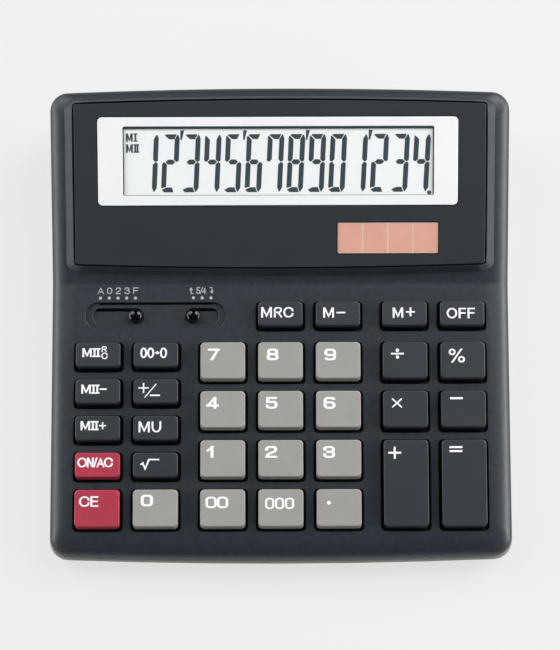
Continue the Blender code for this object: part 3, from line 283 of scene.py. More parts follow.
@dataclass(frozen=True)
class EtchedAbs(Finish):
    """ABS moulded against spark-eroded steel: a soft, even sheen over fine pits.

    Real pits are about 0.1 mm wide and are drawn at 0.45 mm, as coarse as they need to show.
    """

    pits: float = 0.45 * MM

    def relief(self, tree: bpy.types.NodeTree, place: bpy.types.NodeSocket) -> bpy.types.NodeSocket:
        """Round pits from a cell pattern with finer noise over them.

        Args:
            tree: the material's nodes.
            place: the Object coordinates.
        Returns:
            The height's socket.
        """
        cells = add_node(
            tree,
            "ShaderNodeTexVoronoi",
            {"Scale": 1 / self.pits, "Randomness": 1.0},
            {"Vector": place},
        )
        noise = super().relief(tree, place)
        total = add_node(tree, "ShaderNodeMath", operation="ADD")
        tree.links.new(cells.outputs["Distance"], total.inputs[0])
        tree.links.new(noise, total.inputs[1])
        return total.outputs["Value"]


@dataclass(frozen=True)
class GapShadedKeyAbs(EtchedAbs):
    """Key plastic with painted shade: nearly black below a set height over the deck, for the gap round it.

    The colour and the painted shade meet at that height.
    """

    # The height over the deck below which the colour is darkened as painted shade, the width of the fade,
    # and the darkening factor
    shade_top: float = 0.4 * MM
    blend: float = 0.1 * MM
    shade: float = 0.03

    def tint(self, tree: bpy.types.NodeTree, place: bpy.types.NodeSocket) -> bpy.types.NodeSocket:
        """The cap's colour above a set height over the deck, and painted shade, nearly black, below it.

        Args:
            tree: the material's nodes.
            place: the Object coordinates.
        Returns:
            The colour's socket.
        """
        inverse = Top.DECK.matrix.inverted()
        on_deck = add_node(
            tree,
            "ShaderNodeMapping",
            {"Location": inverse.translation, "Rotation": inverse.to_euler()},
            {"Vector": place},
        )
        parts = add_node(
            tree, "ShaderNodeSeparateXYZ", links={"Vector": on_deck.outputs["Vector"]}
        )
        share = add_node(
            tree,
            "ShaderNodeMapRange",
            {"From Min": self.shade_top - self.blend, "From Max": self.shade_top, "To Min": self.shade},
            {"Value": parts.outputs["Z"]},
        )
        cap = super().tint(tree, place)
        both = add_node(
            tree,
            "ShaderNodeVectorMath",
            links={"Vector": cap, "Scale": share.outputs["Result"]},
            operation="SCALE",
        )
        return both.outputs["Vector"]


@dataclass(frozen=True)
class BrushedGrain(Finish):
    """A surface with short sideways hairlines, as brushed metal or a film laid over plastic."""

    stretch: float = 12.0

    def relief(self, tree: bpy.types.NodeTree, place: bpy.types.NodeSocket) -> bpy.types.NodeSocket:
        """Noise drawn out along x.

        Args:
            tree: the material's nodes.
            place: the Object coordinates.
        Returns:
            The height's socket.
        """
        drawn = add_node(
            tree,
            "ShaderNodeMapping",
            {"Scale": (1 / self.stretch, 1.0, 1.0)},
            {"Vector": place},
        )
        return super().relief(tree, drawn.outputs["Vector"])


@dataclass(frozen=True)
class ContactTracks(Finish):
    """A flat connector or board with rows of conductors at a fixed pitch along x."""

    track: str = "#1d1a12"
    pitch: float = 1.2 * MM
    track_edges: tuple = (0.45, 0.55)
    band_scale: float = math.tau / 20

    def tint(self, tree: bpy.types.NodeTree, place: bpy.types.NodeSocket) -> bpy.types.NodeSocket:
        """The base colour crossed by straight tracks.

        Args:
            tree: the material's nodes.
            place: the Object coordinates.
        Returns:
            The colour's socket.
        """
        wave = add_node(
            tree,
            "ShaderNodeTexWave",
            {"Scale": self.band_scale / self.pitch, "Distortion": 0.0},
            {"Vector": place},
            wave_type="BANDS",
            bands_direction="X",
        )
        ramp = add_node(tree, "ShaderNodeValToRGB", links={"Fac": wave.outputs["Fac"]})
        colours = (self.colour, self.track)
        for colour, edge, stop in zip(colours, self.track_edges, ramp.color_ramp.elements):
            stop.position = edge
            stop.color = linear(colour)
        return ramp.outputs["Color"]


# Etched charcoal ABS of the housing: matt and faintly blue, with a fine speckle
CASE_ABS = EtchedAbs(
    "charcoal_etched_abs", "#293036", roughness=0.36, specular=0.45, depth=0.03 * MM,
    mottle=0.16, mottle_size=1.6 * MM,
)
# The display's face plate: nearly the same colour, but flatter and smoother than the housing
FACE_PLATE = BrushedGrain(
    "charcoal_face_plate", "#262b31", roughness=0.45, depth=0.006 * MM, grain=0.25 * MM
)
# Warm grey ABS of the tray: dull and even, a pale strip under the dark top
TRAY_ABS = EtchedAbs(
    "warm_grey_tray_abs", "#989893", roughness=0.5, depth=0.012 * MM, mottle=0.03,
    mottle_size=2 * MM,
)
# Moulded ABS of the dark keys: satin, a little smoother and lighter than the deck, with painted shade that
# turns the skirts nearly black up to 1.2 mm over the deck
DARK_KEY = GapShadedKeyAbs(
    "charcoal_key_abs", "#2e3238", roughness=0.4, depth=0.01 * MM, shade_top=1.2 * MM
)
# Moulded ABS of the figure keys: satin and warm, the brightest plastic on the deck, with painted shade,
# nearly black, below 0.4 mm over the deck
LIGHT_KEY = GapShadedKeyAbs(
    "warm_grey_key_abs", "#9b9995", roughness=0.3, depth=0.01 * MM, mottle=0.03
)
# Moulded ABS of the red keys: the same satin, in a deep crimson that shows no streaks, with the same
# painted shade below 0.4 mm over the deck
RED_KEY = GapShadedKeyAbs(
    "crimson_key_abs", "#a93a4b", roughness=0.3, depth=0.01 * MM, mottle=0.03
)
# Pad-printed white ink: opaque, flat and a little chalky
WHITE_INK = Finish("white_pad_print", "#f4f5f6", roughness=0.5, mottle=0.01, depth=0.002 * MM)
# The same ink, thinner, so that the small signs of the switches look pale grey
PALE_INK = Finish("pale_grey_pad_print", "#b4b7bb", roughness=0.5, mottle=0.01, depth=0.002 * MM)
# Moulded polystyrene of the display's frame: a clean, even gloss
WHITE_FRAME = Finish(
    "white_gloss_polystyrene", "#eeeeee", roughness=0.25, mottle=0.01, depth=0.002 * MM
)
# The display cell: a reflective film behind glass, pale with a cool cast and a glassy top
DISPLAY_CELL = Finish(
    "reflective_display_cell", "#edf0f0", roughness=0.4, coat=0.4, coat_roughness=0.06,
    mottle=0.01, depth=0.001 * MM,
)
# Painted shadow of the white frame on the display cell: a slate line inside the white frame, widest along
# the window's rear edge
WINDOW_SHADOW = Finish(
    "slate_painted_window_shadow", "#26333b", roughness=0.45, mottle=0.02, depth=0.002 * MM
)
# Driven liquid crystal: dark slate, as dull as the polariser over it
SEGMENT_FILM = Finish("dark_liquid_crystal", "#36434a", roughness=0.4, mottle=0.02, depth=0.001 * MM)
# Amorphous silicon on glass: salmon, under a glassy top
SOLAR_FILM = Finish(
    "amorphous_silicon_film", "#dca493", roughness=0.35, coat=0.7, coat_roughness=0.08,
    mottle=0.04, mottle_size=6 * MM, depth=0.001 * MM,
)
# Ground glass round and between the strips: hair-thin paler lines
SOLAR_BASE = Finish("solar_glass_edge", "#dcc3ad", roughness=0.3, mottle=0.02, depth=0.001 * MM)
# Polished ABS of the switch knobs: black, with sharp highlights of the lamps
KNOB_ABS = Finish("polished_black_abs", "#050506", roughness=0.1, mottle=0.02, depth=0.001 * MM)
# Moulded rubber of the feet: dull, with a powdery bloom
FOOT_RUBBER = Finish(
    "moulded_rubber", "#2b2b2b", roughness=0.85, mottle=0.15, mottle_size=3 * MM, depth=0.02 * MM
)
# Moulded silicone of the keypad mat: so dull that the gaps round the keys look black
KEY_SILICONE = Finish("dark_silicone_rubber", "#2c2d2d", roughness=0.75, mottle=0.05, depth=0.004 * MM)
# Solder resist over etched copper: glossy green with paler tracks
BOARD_RESIST = ContactTracks(
    "green_solder_resist", "#1d4a2c", roughness=0.35, track="#2c6139", pitch=2.54 * MM
)
# Cured epoxy over the bare chip: a smooth black drop
CHIP_EPOXY = Finish("black_epoxy_drop", "#161616", roughness=0.25, depth=0.004 * MM)
# Shrunk sleeve of the capacitor: smooth dark blue
CAPACITOR_SLEEVE = Finish("shrunk_pvc_sleeve", "#1b2142", roughness=0.35, depth=0.003 * MM)
# Zinc-plated steel of the screws: a soft, slightly cloudy shine
SCREW_STEEL = Finish(
    "zinc_plated_steel", "#a9abad", roughness=0.32, metallic=1.0, mottle=0.1, mottle_size=2 * MM
)
# Brushed nickel-plated steel of the cell and its springs: highlights drawn out sideways
CELL_STEEL = BrushedGrain(
    "brushed_nickel_steel", "#b9babb", roughness=0.28, metallic=1.0, depth=0.003 * MM
)
# Heat-sealed polyester with carbon tracks: amber with black lines
RIBBON_FILM = ContactTracks("polyester_ribbon", "#a8843f", roughness=0.4)
# Extruded PVC of the solar cell's leads: smooth, one red and one black
WIRE_RED = Finish("red_pvc_wire", "#a32020", roughness=0.4, depth=0.002 * MM)
WIRE_BLACK = Finish("black_pvc_wire", "#1c1c1c", roughness=0.4, depth=0.002 * MM)


@dataclass(frozen=True)
class Backdrop(Finish):
    """Matt pale card, lit by the lamps near the object and evenly bright far from it."""

    even: float = 0.8
    near: float = 0.2
    far: float = 0.7

    def material(self) -> bpy.types.Material:
        """The card's material with an even glow for what looks at it.

        Returns:
            The material.
        """
        material = super().material()
        tree = material.node_tree
        output = next(node for node in tree.nodes if node.type == "OUTPUT_MATERIAL")
        card = output.inputs["Surface"].links[0].from_socket
        place = add_node(tree, "ShaderNodeTexCoord").outputs["Object"]
        reach = add_node(tree, "ShaderNodeVectorMath", links={"Vector": place}, operation="LENGTH")
        even = add_node(
            tree,
            "ShaderNodeMapRange",
            {"From Min": self.near, "From Max": self.far, "To Min": self.even, "To Max": 1.0},
            {"Value": reach.outputs["Value"]},
            interpolation_type="SMOOTHSTEP",
        )
        share = add_node(tree, "ShaderNodeMath", operation="MULTIPLY")
        tree.links.new(looked_at(tree), share.inputs[0])
        tree.links.new(even.outputs["Result"], share.inputs[1])
        glow = add_node(tree, "ShaderNodeEmission", {"Color": linear(self.colour), "Strength": 1.0})
        mix = add_node(tree, "ShaderNodeMixShader", links={"Fac": share.outputs["Value"]})
        tree.links.new(card, mix.inputs[1])
        tree.links.new(glow.outputs["Emission"], mix.inputs[2])
        tree.links.new(mix.outputs["Shader"], output.inputs["Surface"])
        return material


# Matt card of the studio floor: pale and without gloss, so that only the shadow shows on it
FLOOR_CARD = Backdrop(
    "matt_pale_card", "#ececec", roughness=0.9, specular=0.0, mottle=0.004, depth=0.002 * MM
)


# Work bench


class Section(NamedTuple):
    """One level of a moulded shape: a rectangle and its height."""

    left: float
    right: float
    front: float
    rear: float
    height: float

    def drawn_in(self, inset: float, height: float) -> "Section":
        """The same rectangle drawn in all round, at another height."""
        return Section(
            self.left + inset, self.right - inset, self.front + inset, self.rear - inset, height
        )

    @property
    def middle(self) -> tuple[float, float]:
        """The rectangle's middle."""
        return (self.left + self.right) / 2, (self.front + self.rear) / 2

    @property
    def size(self) -> tuple[float, float]:
        """Its width and depth."""
        return self.right - self.left, self.rear - self.front


def only(piece: bpy.types.Object) -> None:
    """Selects this piece alone and makes it the active one.

    Args:
        piece: the piece.
    """
    bpy.ops.object.select_all(action="DESELECT")
    piece.select_set(True)
    bpy.context.view_layer.objects.active = piece


@contextmanager
def editing(piece: bpy.types.Object) -> Iterator[None]:
    """Edit mode on one piece.

    Args:
        piece: the piece to edit.
    Returns:
        A context that lasts as long as the edit.
    """
    only(piece)
    bpy.ops.object.mode_set(mode="EDIT")
    yield
    bpy.ops.object.mode_set(mode="OBJECT")


def named(name: str) -> bpy.types.Object:
    """Gives the object that an operator has just added its name.

    Args:
        name: the name.
    Returns:
        The object.
    """
    piece = bpy.context.view_layer.objects.active
    piece.name = name
    piece.data.name = name
    return piece


def pick(piece: bpy.types.Object, domain: str, wanted: Callable[[object], bool]) -> None:
    """Selects faces or edges of the piece in edit mode.

    Args:
        piece: the piece being edited.
        domain: "faces" or "edges".
        wanted: says whether one of them is selected.
    """
    modes = {"faces": "FACE", "edges": "EDGE"}
    bpy.ops.mesh.select_mode(type=modes[domain])
    bpy.ops.mesh.select_all(action="DESELECT")
    mesh = bmesh.from_edit_mesh(piece.data)
    for item in getattr(mesh, domain):
        if wanted(item):
            item.select_set(True)
    mesh.select_flush_mode()
    bmesh.update_edit_mesh(piece.data)


def reshape(now: Section, then: Section) -> None:
    """Resizes and shifts what is selected from one section's rectangle to another's.

    Args:
        now: the section that the selection has.
        then: the section that it gets.
    """
    centre = (*now.middle, then.height)
    factors = tuple(after / before for before, after in zip(now.size, then.size))
    bpy.ops.transform.resize(value=(*factors, 1), center_override=centre)
    shift = tuple(after - before for before, after in zip(now.middle, then.middle))
    if any(abs(step) > NOTHING for step in shift):
        bpy.ops.transform.translate(value=(*shift, 0))


def grow(sections: Sequence[Section]) -> None:
    """Extrudes the selected face from each section to the next.

    Args:
        sections: from the one that the face has to the last.
    """
    for now, then in zip(sections, sections[1:]):
        rise = (0, 0, then.height - now.height)
        bpy.ops.mesh.extrude_region_move(TRANSFORM_OT_translate={"value": rise})
        reshape(now, then)


def face_outward(piece: bpy.types.Object) -> None:
    """Turns all faces outwards, in edit mode."""
    bpy.ops.mesh.select_all(action="SELECT")
    bpy.ops.mesh.normals_make_consistent(inside=False)


def moulding(
    name: str,
    sections: Sequence[Section],
    corner: float,
    segments: int = 6,
    cuts: int = 0,
) -> bpy.types.Object:
    """A solid through rectangular sections with round corners.

    Args:
        name: the new object's name.
        sections: from the first face to the last.
        corner: radius of the first section's corners.
        segments: faces round each corner.
        cuts: points added along the front and rear edges.
    Returns:
        The new object.
    """
    first = sections[0]
    bpy.ops.object.select_all(action="DESELECT")
    bpy.ops.mesh.primitive_plane_add(size=1, location=(0, 0, 0))
    piece = named(name)
    with editing(piece):
        unit = Section(-0.5, 0.5, -0.5, 0.5, 0)
        bpy.ops.mesh.select_all(action="SELECT")
        bpy.ops.transform.translate(value=(0, 0, first.height))
        reshape(unit, first)
        radius = min(corner, ALMOST * min(first.size) / 2)
        if radius > 0:
            bpy.ops.mesh.bevel(
                offset_type="OFFSET", offset=radius, segments=segments, affect="VERTICES"
            )
        if cuts:
            half = first.size[0] / 2
            pick(piece, "edges", lambda e: e.calc_length() > half
                 and abs(e.verts[0].co.y - e.verts[1].co.y) < HIDDEN)
            bpy.ops.mesh.subdivide(number_cuts=cuts)
        bpy.ops.mesh.select_mode(type="FACE")
        bpy.ops.mesh.select_all(action="SELECT")
        grow(sections)
        face_outward(piece)
    return piece


def turned(
    name: str, profile: Sequence[tuple[float, float]], sides: int = 32
) -> bpy.types.Object:
    """A round solid about the z axis, as from a lathe.

    Args:
        name: the new object's name.
        profile: (radius, height) pairs from the bottom up.
        sides: points round it.
    Returns:
        The new object.
    """
    bpy.ops.object.select_all(action="DESELECT")
    radius, height = profile[0]
    bpy.ops.mesh.primitive_circle_add(
        vertices=sides, radius=radius, fill_type="NGON", location=(0, 0, 0)
    )
    piece = named(name)
    rings = [Section(-r, r, -r, r, z) for r, z in profile]
    with editing(piece):
        bpy.ops.mesh.select_mode(type="FACE")
        bpy.ops.mesh.select_all(action="SELECT")
        bpy.ops.transform.translate(value=(0, 0, height))
        grow(rings)
        face_outward(piece)
    return piece


def raised(
    name: str, points: Sequence[tuple], faces: Sequence[tuple[int, ...]], rise: float
) -> bpy.types.Object:
    """Flat outlines made solid.

    Args:
        name: the new object's name.
        points: the points of all outlines.
        faces: the numbers of each outline's points.
        rise: the thickness that they get.
    Returns:
        The new object.
    """
    mesh = bpy.data.meshes.new(name)
    mesh.from_pydata(points, [], faces)
    piece = bpy.data.objects.new(name, mesh)
    bpy.context.scene.collection.objects.link(piece)
    with editing(piece):
        bpy.ops.mesh.select_mode(type="FACE")
        bpy.ops.mesh.select_all(action="SELECT")
        bpy.ops.mesh.extrude_region_move(TRANSFORM_OT_translate={"value": (0, 0, rise)})
        face_outward(piece)
    return piece


def circle(x: float, y: float, radius: float, sides: int = 20) -> list[tuple[float, float]]:
    """Points round a circle."""
    turns = (math.tau * i / sides for i in range(sides))
    return [(x + radius * math.cos(turn), y + radius * math.sin(turn)) for turn in turns]


def rounded_top(body: Section, top: float, radius: float, steps: int) -> list[Section]:
    """The sections of a rounded upper edge.

    Args:
        body: the section below the edge.
        top: height of the upper face.
        radius: radius of the edge.
        steps: sections in it.
    Returns:
        The sections, from the side to the upper face.
    """
    found = []
    for step in range(1, steps + 1):
        turn = math.radians(90 * step / steps)
        found.append(
            body.drawn_in(radius * (1 - math.cos(turn)), top - radius * (1 - math.sin(turn)))
        )
    return found


def obround(left: float, right: float, middle: float, radius: float, height: float) -> Section:
    """A section with round ends: it runs along x between the two end centres."""
    return Section(left - radius, right + radius, middle - radius, middle + radius, height)


def place(piece: bpy.types.Object, matrix: Matrix) -> bpy.types.Object:
    """Moves the piece and puts the place in its mesh.

    Args:
        piece: the piece.
        matrix: where it goes.
    Returns:
        The piece.
    """
    only(piece)
    piece.matrix_world = matrix
    bpy.ops.object.transform_apply(location=True, rotation=True, scale=True)
    return piece


def copied(piece: bpy.types.Object, name: str) -> bpy.types.Object:
    """A copy with its own mesh.

    Args:
        piece: the original.
        name: the copy's name.
    Returns:
        The copy.
    """
    twin = piece.copy()
    twin.data = piece.data.copy()
    twin.name = twin.data.name = name
    bpy.context.scene.collection.objects.link(twin)
    return twin


def joined(name: str, pieces: Sequence[bpy.types.Object]) -> bpy.types.Object:
    """Several objects made one.

    Args:
        name: the new name.
        pieces: the objects.
    Returns:
        The one object.
    """
    bpy.ops.object.select_all(action="DESELECT")
    for piece in pieces:
        piece.select_set(True)
    bpy.context.view_layer.objects.active = pieces[0]
    if len(pieces) > 1:
        bpy.ops.object.join()
    return named(name)


def apply(piece: bpy.types.Object, kind: str, **settings: object) -> None:
    """Adds a modifier with these settings and applies it.

    Args:
        piece: the piece.
        kind: the modifier's type.
        settings: the modifier's properties.
    """
    modifier = piece.modifiers.new(kind.lower(), kind)
    for name, value in settings.items():
        setattr(modifier, name, value)
    only(piece)
    bpy.ops.object.modifier_apply(modifier=modifier.name)


def cut(piece: bpy.types.Object, tools: Sequence[bpy.types.Object]) -> None:
    """Cuts the tools out of the piece and throws them away.

    Args:
        piece: the piece.
        tools: the tools, clear of each other.
    """
    tool = joined("cutter", tools)
    apply(piece, "BOOLEAN", operation="DIFFERENCE", solver="EXACT", object=tool)
    bpy.data.objects.remove(tool)


def fuse(piece: bpy.types.Object, tools: Sequence[bpy.types.Object]) -> None:
    """Adds the tools to the piece and throws them away.

    Args:
        piece: the piece.
        tools: the tools, clear of each other.
    """
    tool = joined("addition", tools)
    apply(piece, "BOOLEAN", operation="UNION", solver="EXACT", object=tool)
    bpy.data.objects.remove(tool)


def smooth(piece: bpy.types.Object, degrees: float = 30.0) -> None:
    """Smooth shading with the sharp edges kept and the flat faces kept flat.

    Args:
        piece: the piece.
        degrees: the angle from which an edge is sharp.
    """
    only(piece)
    bpy.ops.object.shade_smooth_by_angle(angle=math.radians(degrees))
    apply(piece, "WEIGHTED_NORMAL", keep_sharp=True, weight=80)


def register(
    piece: bpy.types.Object,
    finish: Finish,
    slot: Slot,
    body: str,
    replaced: Sequence[str] = (),
) -> None:
    """Dresses a finished piece and attaches it to its body.

    Args:
        piece: the piece, in place.
        finish: its material.
        slot: not used.
        body: the CAD body that it rides on.
        replaced: CAD nodes that it stands for.
    """
    piece.data.materials.clear()
    piece.data.materials.append(finish.material())
    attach(piece, body)
    if replaced:
        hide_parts(*replaced)
    LOG.info("%s on %s: %d faces", piece.name, body, len(piece.data.polygons))


def dress_node(name: str, finish: Finish) -> None:
    """Gives a CAD node that stays its finish.

    Args:
        name: the node.
        finish: its material.
    """
    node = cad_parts[name]
    for slot in node.material_slots:
        slot.material = finish.material()
    LOG.info("%s keeps its CAD shape, in %s", name, finish.name)


# Housing


@dataclass
class UpperCase:
    """The charcoal moulding: key deck, flanks and the raised surround of the display."""

    half_width: float = 76.4 * MM
    front: float = -76.716 * MM
    rear: float = 77.666 * MM
    corner: float = 5.8 * MM
    wall: float = 2.0 * MM
    flank_width: float = 8.6 * MM
    flank_drop: float = 3.9 * MM
    inner_width: float = 6.0 * MM
    inner_drop: float = 1.0 * MM
    parting_front: float = 9.0 * MM
    parting_deck: float = math.radians(3.0)
    parting_hood: float = math.radians(11.5)
    parting_lip: float = 0.15 * MM
    deck_border: float = 0.5 * MM
    flank_steps: int = 14
    crease_soft: float = 0.7 * MM
    hood_rise: float = 2.6 * MM
    hood_root: float = 1.8 * MM
    hood_half: float = 68.7 * MM
    hood_front: float = 4.7 * MM
    hood_rear: float = 61.3 * MM
    side_spread: float = 4.0 * MM
    front_spread: float = 3.9 * MM
    rear_spread: float = 1.2 * MM
    hood_corner: float = 4.0 * MM
    lip_round: float = 0.35 * MM
    lip_share: float = 0.6
    pocket_floor: float = 0.8 * MM
    pocket: tuple = (68.4 * MM, 5.0 * MM, 61.0 * MM, 1.0 * MM)
    glass_hole: tuple = (-54.75 * MM, 53.35 * MM, 26.15 * MM, 55.05 * MM)
    lead_holes: tuple = (25.7 * MM, 45.7 * MM)
    lead_v: float = 15.1 * MM
    lead_radius: float = 1.0 * MM
    lead_span: tuple = (-4 * MM, 2 * MM)
    boss_radius: float = 2.2 * MM
    boss_bore: float = 1.3 * MM
    boss_depth: float = 6.5 * MM
    bosses_at: tuple = ((30.15 * MM, -59.88 * MM, 5.4 * MM), (62.4 * MM, 65.666 * MM, 16.4 * MM))

    def top(self, y: float) -> float:
        """Height of the deck or the hood at y."""
        angle = DECK_ANGLE if y < CREASE_Y else HOOD_ANGLE
        return CREASE_Z + (y - CREASE_Y) * math.tan(angle)

    def parting(self, y: float) -> float:
        """Height of the line between the two halves of the case.

        Args:
            y: place to the rear.
        Returns:
            Its height.
        """
        crease = self.parting_front + (CREASE_Y - self.front) * math.tan(self.parting_deck)
        angle = self.parting_deck if y < CREASE_Y else self.parting_hood
        return crease + (y - CREASE_Y) * math.tan(angle)

    def levels(self) -> list[tuple[float, Callable[[float], float], float]]:
        """The rings of the shell, from the ceiling out, down and up again.

        Returns:
            Each ring's inset, its height at y and its offset from that height.
        """
        found = []
        for step in (2, 1, 0):
            turn = math.radians(45 * step)
            inset = self.wall + self.inner_width * (1 - math.cos(turn))
            drop = DECK_THICKNESS + self.inner_drop * (1 - math.sin(turn))
            found.append((inset, self.top, -drop))
        found.append((self.wall, self.parting, 0.0))
        found.append((self.parting_lip, self.parting, 0.0))
        found.append((0.0, self.parting, self.parting_lip))
        for step in range(self.flank_steps + 1):
            turn = math.radians(90 * step / self.flank_steps)
            inset = self.flank_width * (1 - math.cos(turn))
            found.append((inset, self.top, -self.flank_drop * (1 - math.sin(turn))))
        found.append((self.flank_width + self.deck_border, self.top, 0.0))
        return found

    def shell(self) -> bpy.types.Object:
        """The bare shell: grown as a straight tower of rings, then bowed, creased and draped.

        Returns:
            The shell.
        """
        rings = self.levels()
        outer = Section(-self.half_width, self.half_width, self.front, self.rear, 0)
        sections = [outer.drawn_in(inset, key * MM) for key, (inset, _, _) in enumerate(rings)]
        share = sections[0].size[0] / outer.size[0]
        case = moulding("upper_case_shell", sections, self.corner * share, 10, BOW_CUTS)
        bowed(case, outer)
        with editing(case):
            for offset in (-self.crease_soft, 0.0, self.crease_soft):
                bpy.ops.mesh.select_all(action="SELECT")
                bpy.ops.mesh.bisect(plane_co=(0, CREASE_Y + offset, 0), plane_no=(0, 1, 0))
        for vertex in case.data.vertices:
            _, height, offset = rings[round(vertex.co.z / MM)]
            vertex.co.z = height(vertex.co.y) + offset
        with editing(case):
            face_outward(case)
        return case

    def hood(self) -> bpy.types.Object:
        """The surround, with straight flared walls and a rounded lip.

        Returns:
            The surround, in place.
        """
        edge = Section(-self.hood_half, self.hood_half, self.hood_front, self.hood_rear, 0)
        foot = Section(
            edge.left - self.side_spread,
            edge.right + self.side_spread,
            edge.front - self.front_spread,
            edge.rear + self.rear_spread,
            -self.hood_root,
        )
        wall_top = self.hood_rise - self.lip_round
        sections = [foot, edge.drawn_in(0, wall_top)]
        for step in range(1, 5):
            turn = math.radians(90 * step / 4)
            inset = self.lip_round * self.lip_share * (1 - math.cos(turn))
            sections.append(edge.drawn_in(inset, wall_top + self.lip_round * math.sin(turn)))
        block = moulding("hood_block", sections, self.hood_corner, 8, BOW_CUTS)
        bowed(block, edge)
        return place(block, Top.HOOD.matrix)

    def display_tools(self) -> list[list[bpy.types.Object]]:
        """Cutters for the panel's pocket, then for the glass and the solar cell's leads.

        Returns:
            The cutters in two batches, one after the other.
        """
        half, front, rear, corner = self.pocket
        pocket = Section(-half, half, front, rear, self.pocket_floor)
        rings = [pocket, pocket.drawn_in(0, self.hood_rise + OVERRUN)]
        tool = moulding("pocket", rings, corner, 5, BOW_CUTS)
        bowed(tool, pocket)
        left, right, low, high = self.glass_hole
        opening = Section(left, right, low, high, -2 * DECK_THICKNESS)
        place(tool, Top.HOOD.matrix)
        tools = [moulding("opening", [opening, opening.drawn_in(0, self.hood_rise)], 0)]
        for x in self.lead_holes:
            hole = turned("lead_hole", [(self.lead_radius, w) for w in self.lead_span], 16)
            tools.append(place(hole, Matrix.Translation((x, self.lead_v, 0))))
        for one in tools:
            place(one, Top.HOOD.matrix)
        return [[tool], tools]

    def bosses(self) -> list[bpy.types.Object]:
        """The four bosses that take the screws, in left and right pairs."""
        return [self.boss(side * x, y, foot) for x, y, foot in self.bosses_at for side in (-1, 1)]

    def boss(self, x: float, y: float, foot: float) -> bpy.types.Object:
        """A round pillar with a pilot hole, from the foot's height up into the top.

        Args:
            x: place to the right.
            y: place to the rear.
            foot: height of its lower end.
        Returns:
            The boss, in place.
        """
        radius, bore = self.boss_radius, self.boss_bore
        ceiling = self.top(y) - DECK_THICKNESS / 2
        deep = foot + self.boss_depth
        low = Section(-bore, bore, -bore, bore, foot)
        pillar = turned("pillar", [(radius, foot), (radius, ceiling)], 24)
        with editing(pillar):
            pick(pillar, "faces", lambda f: f.normal.z < -0.5)
            outer = Section(-radius, radius, -radius, radius, foot)
            grow([outer, low, low.drawn_in(0, min(deep, ceiling - DECK_THICKNESS))])
            face_outward(pillar)
        return place(pillar, Matrix.Translation((x, y, 0)))

    def build(self, keys: "KeyPad", switches: "Switches") -> None:
        """Makes the case with every opening and hands it over.

        Args:
            keys: whose keys need openings.
            switches: whose knobs need slots.
        """
        case = self.shell()
        fuse(case, [self.hood()])
        for tools in (*self.display_tools(), keys.openings(), *switches.openings()):
            cut(case, tools)
        fuse(case, self.bosses())
        with editing(case):
            bpy.ops.mesh.select_all(action="SELECT")
            bpy.ops.mesh.remove_doubles(threshold=MERGE)
        smooth(case, 24)
        register(case, CASE_ABS, Slot.CHARCOAL, "case", ["upper_case"])


def bowed(piece: bpy.types.Object, outer: Section) -> None:
    """Swells the front and rear edges of a piece into shallow arcs.

    Args:
        piece: the piece, still level.
        outer: the rectangle whose front and rear edges get the full bow.
    """
    middle, half = (outer.front + outer.rear) / 2, (outer.rear - outer.front) / 2
    for vertex in piece.data.vertices:
        x, y, _ = vertex.co
        vertex.co.y = y - (y - middle) / half * x * x / (2 * BOW_RADIUS)


@dataclass
class LowerCase:
    """The warm grey tray, with its screws, feet, cell and cell door."""

    flat_angle: float = math.radians(0.2)

    def merged(self, node: str, name: str) -> bpy.types.Object:
        """A copy of a CAD node in one skin, smoothly shaded.

        Args:
            node: the CAD node.
            name: the copy's name.
        Returns:
            The copy.
        """
        piece = copied(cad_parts[node], name)
        piece.parent = None
        for key in list(piece.keys()):
            del piece[key]
        with editing(piece):
            bpy.ops.mesh.select_all(action="SELECT")
            bpy.ops.mesh.remove_doubles(threshold=MERGE)
            bpy.ops.mesh.dissolve_limited(angle_limit=self.flat_angle)
        smooth(piece)
        return piece

    def build(self) -> None:
        """Makes the tray and what is fixed to it."""
        tray = self.merged("lower_case", "lower_case_tray")
        register(tray, TRAY_ABS, Slot.UNDERSIDE, "case", ["lower_case"])
        door = self.merged("battery_door", "cell_door")
        register(door, TRAY_ABS, Slot.UNDERSIDE, "battery_door", ["battery_door"])
        for corner in ("front_left", "front_right", "rear_left", "rear_right"):
            dress_node("foot_" + corner, FOOT_RUBBER)
            dress_node("case_screw_" + corner, SCREW_STEEL)
        for name in ("coin_cell", "battery_contact_rim", "battery_contact_top"):
            dress_node(name, CELL_STEEL)


# Lettering


class Stroke(NamedTuple):
    """One pen stroke of a sign, in the box of its centre line: 0 to 1 both ways."""

    points: tuple
    soft: float = 0.0
    closed: bool = False
    level: bool = False


class Dot(NamedTuple):
    """A round dot of a sign: its centre in the box, and its size in pen widths."""

    u: float
    v: float
    size: float


# A softness past any side's length, which makes a rectangle an oval
OVAL = 9.0
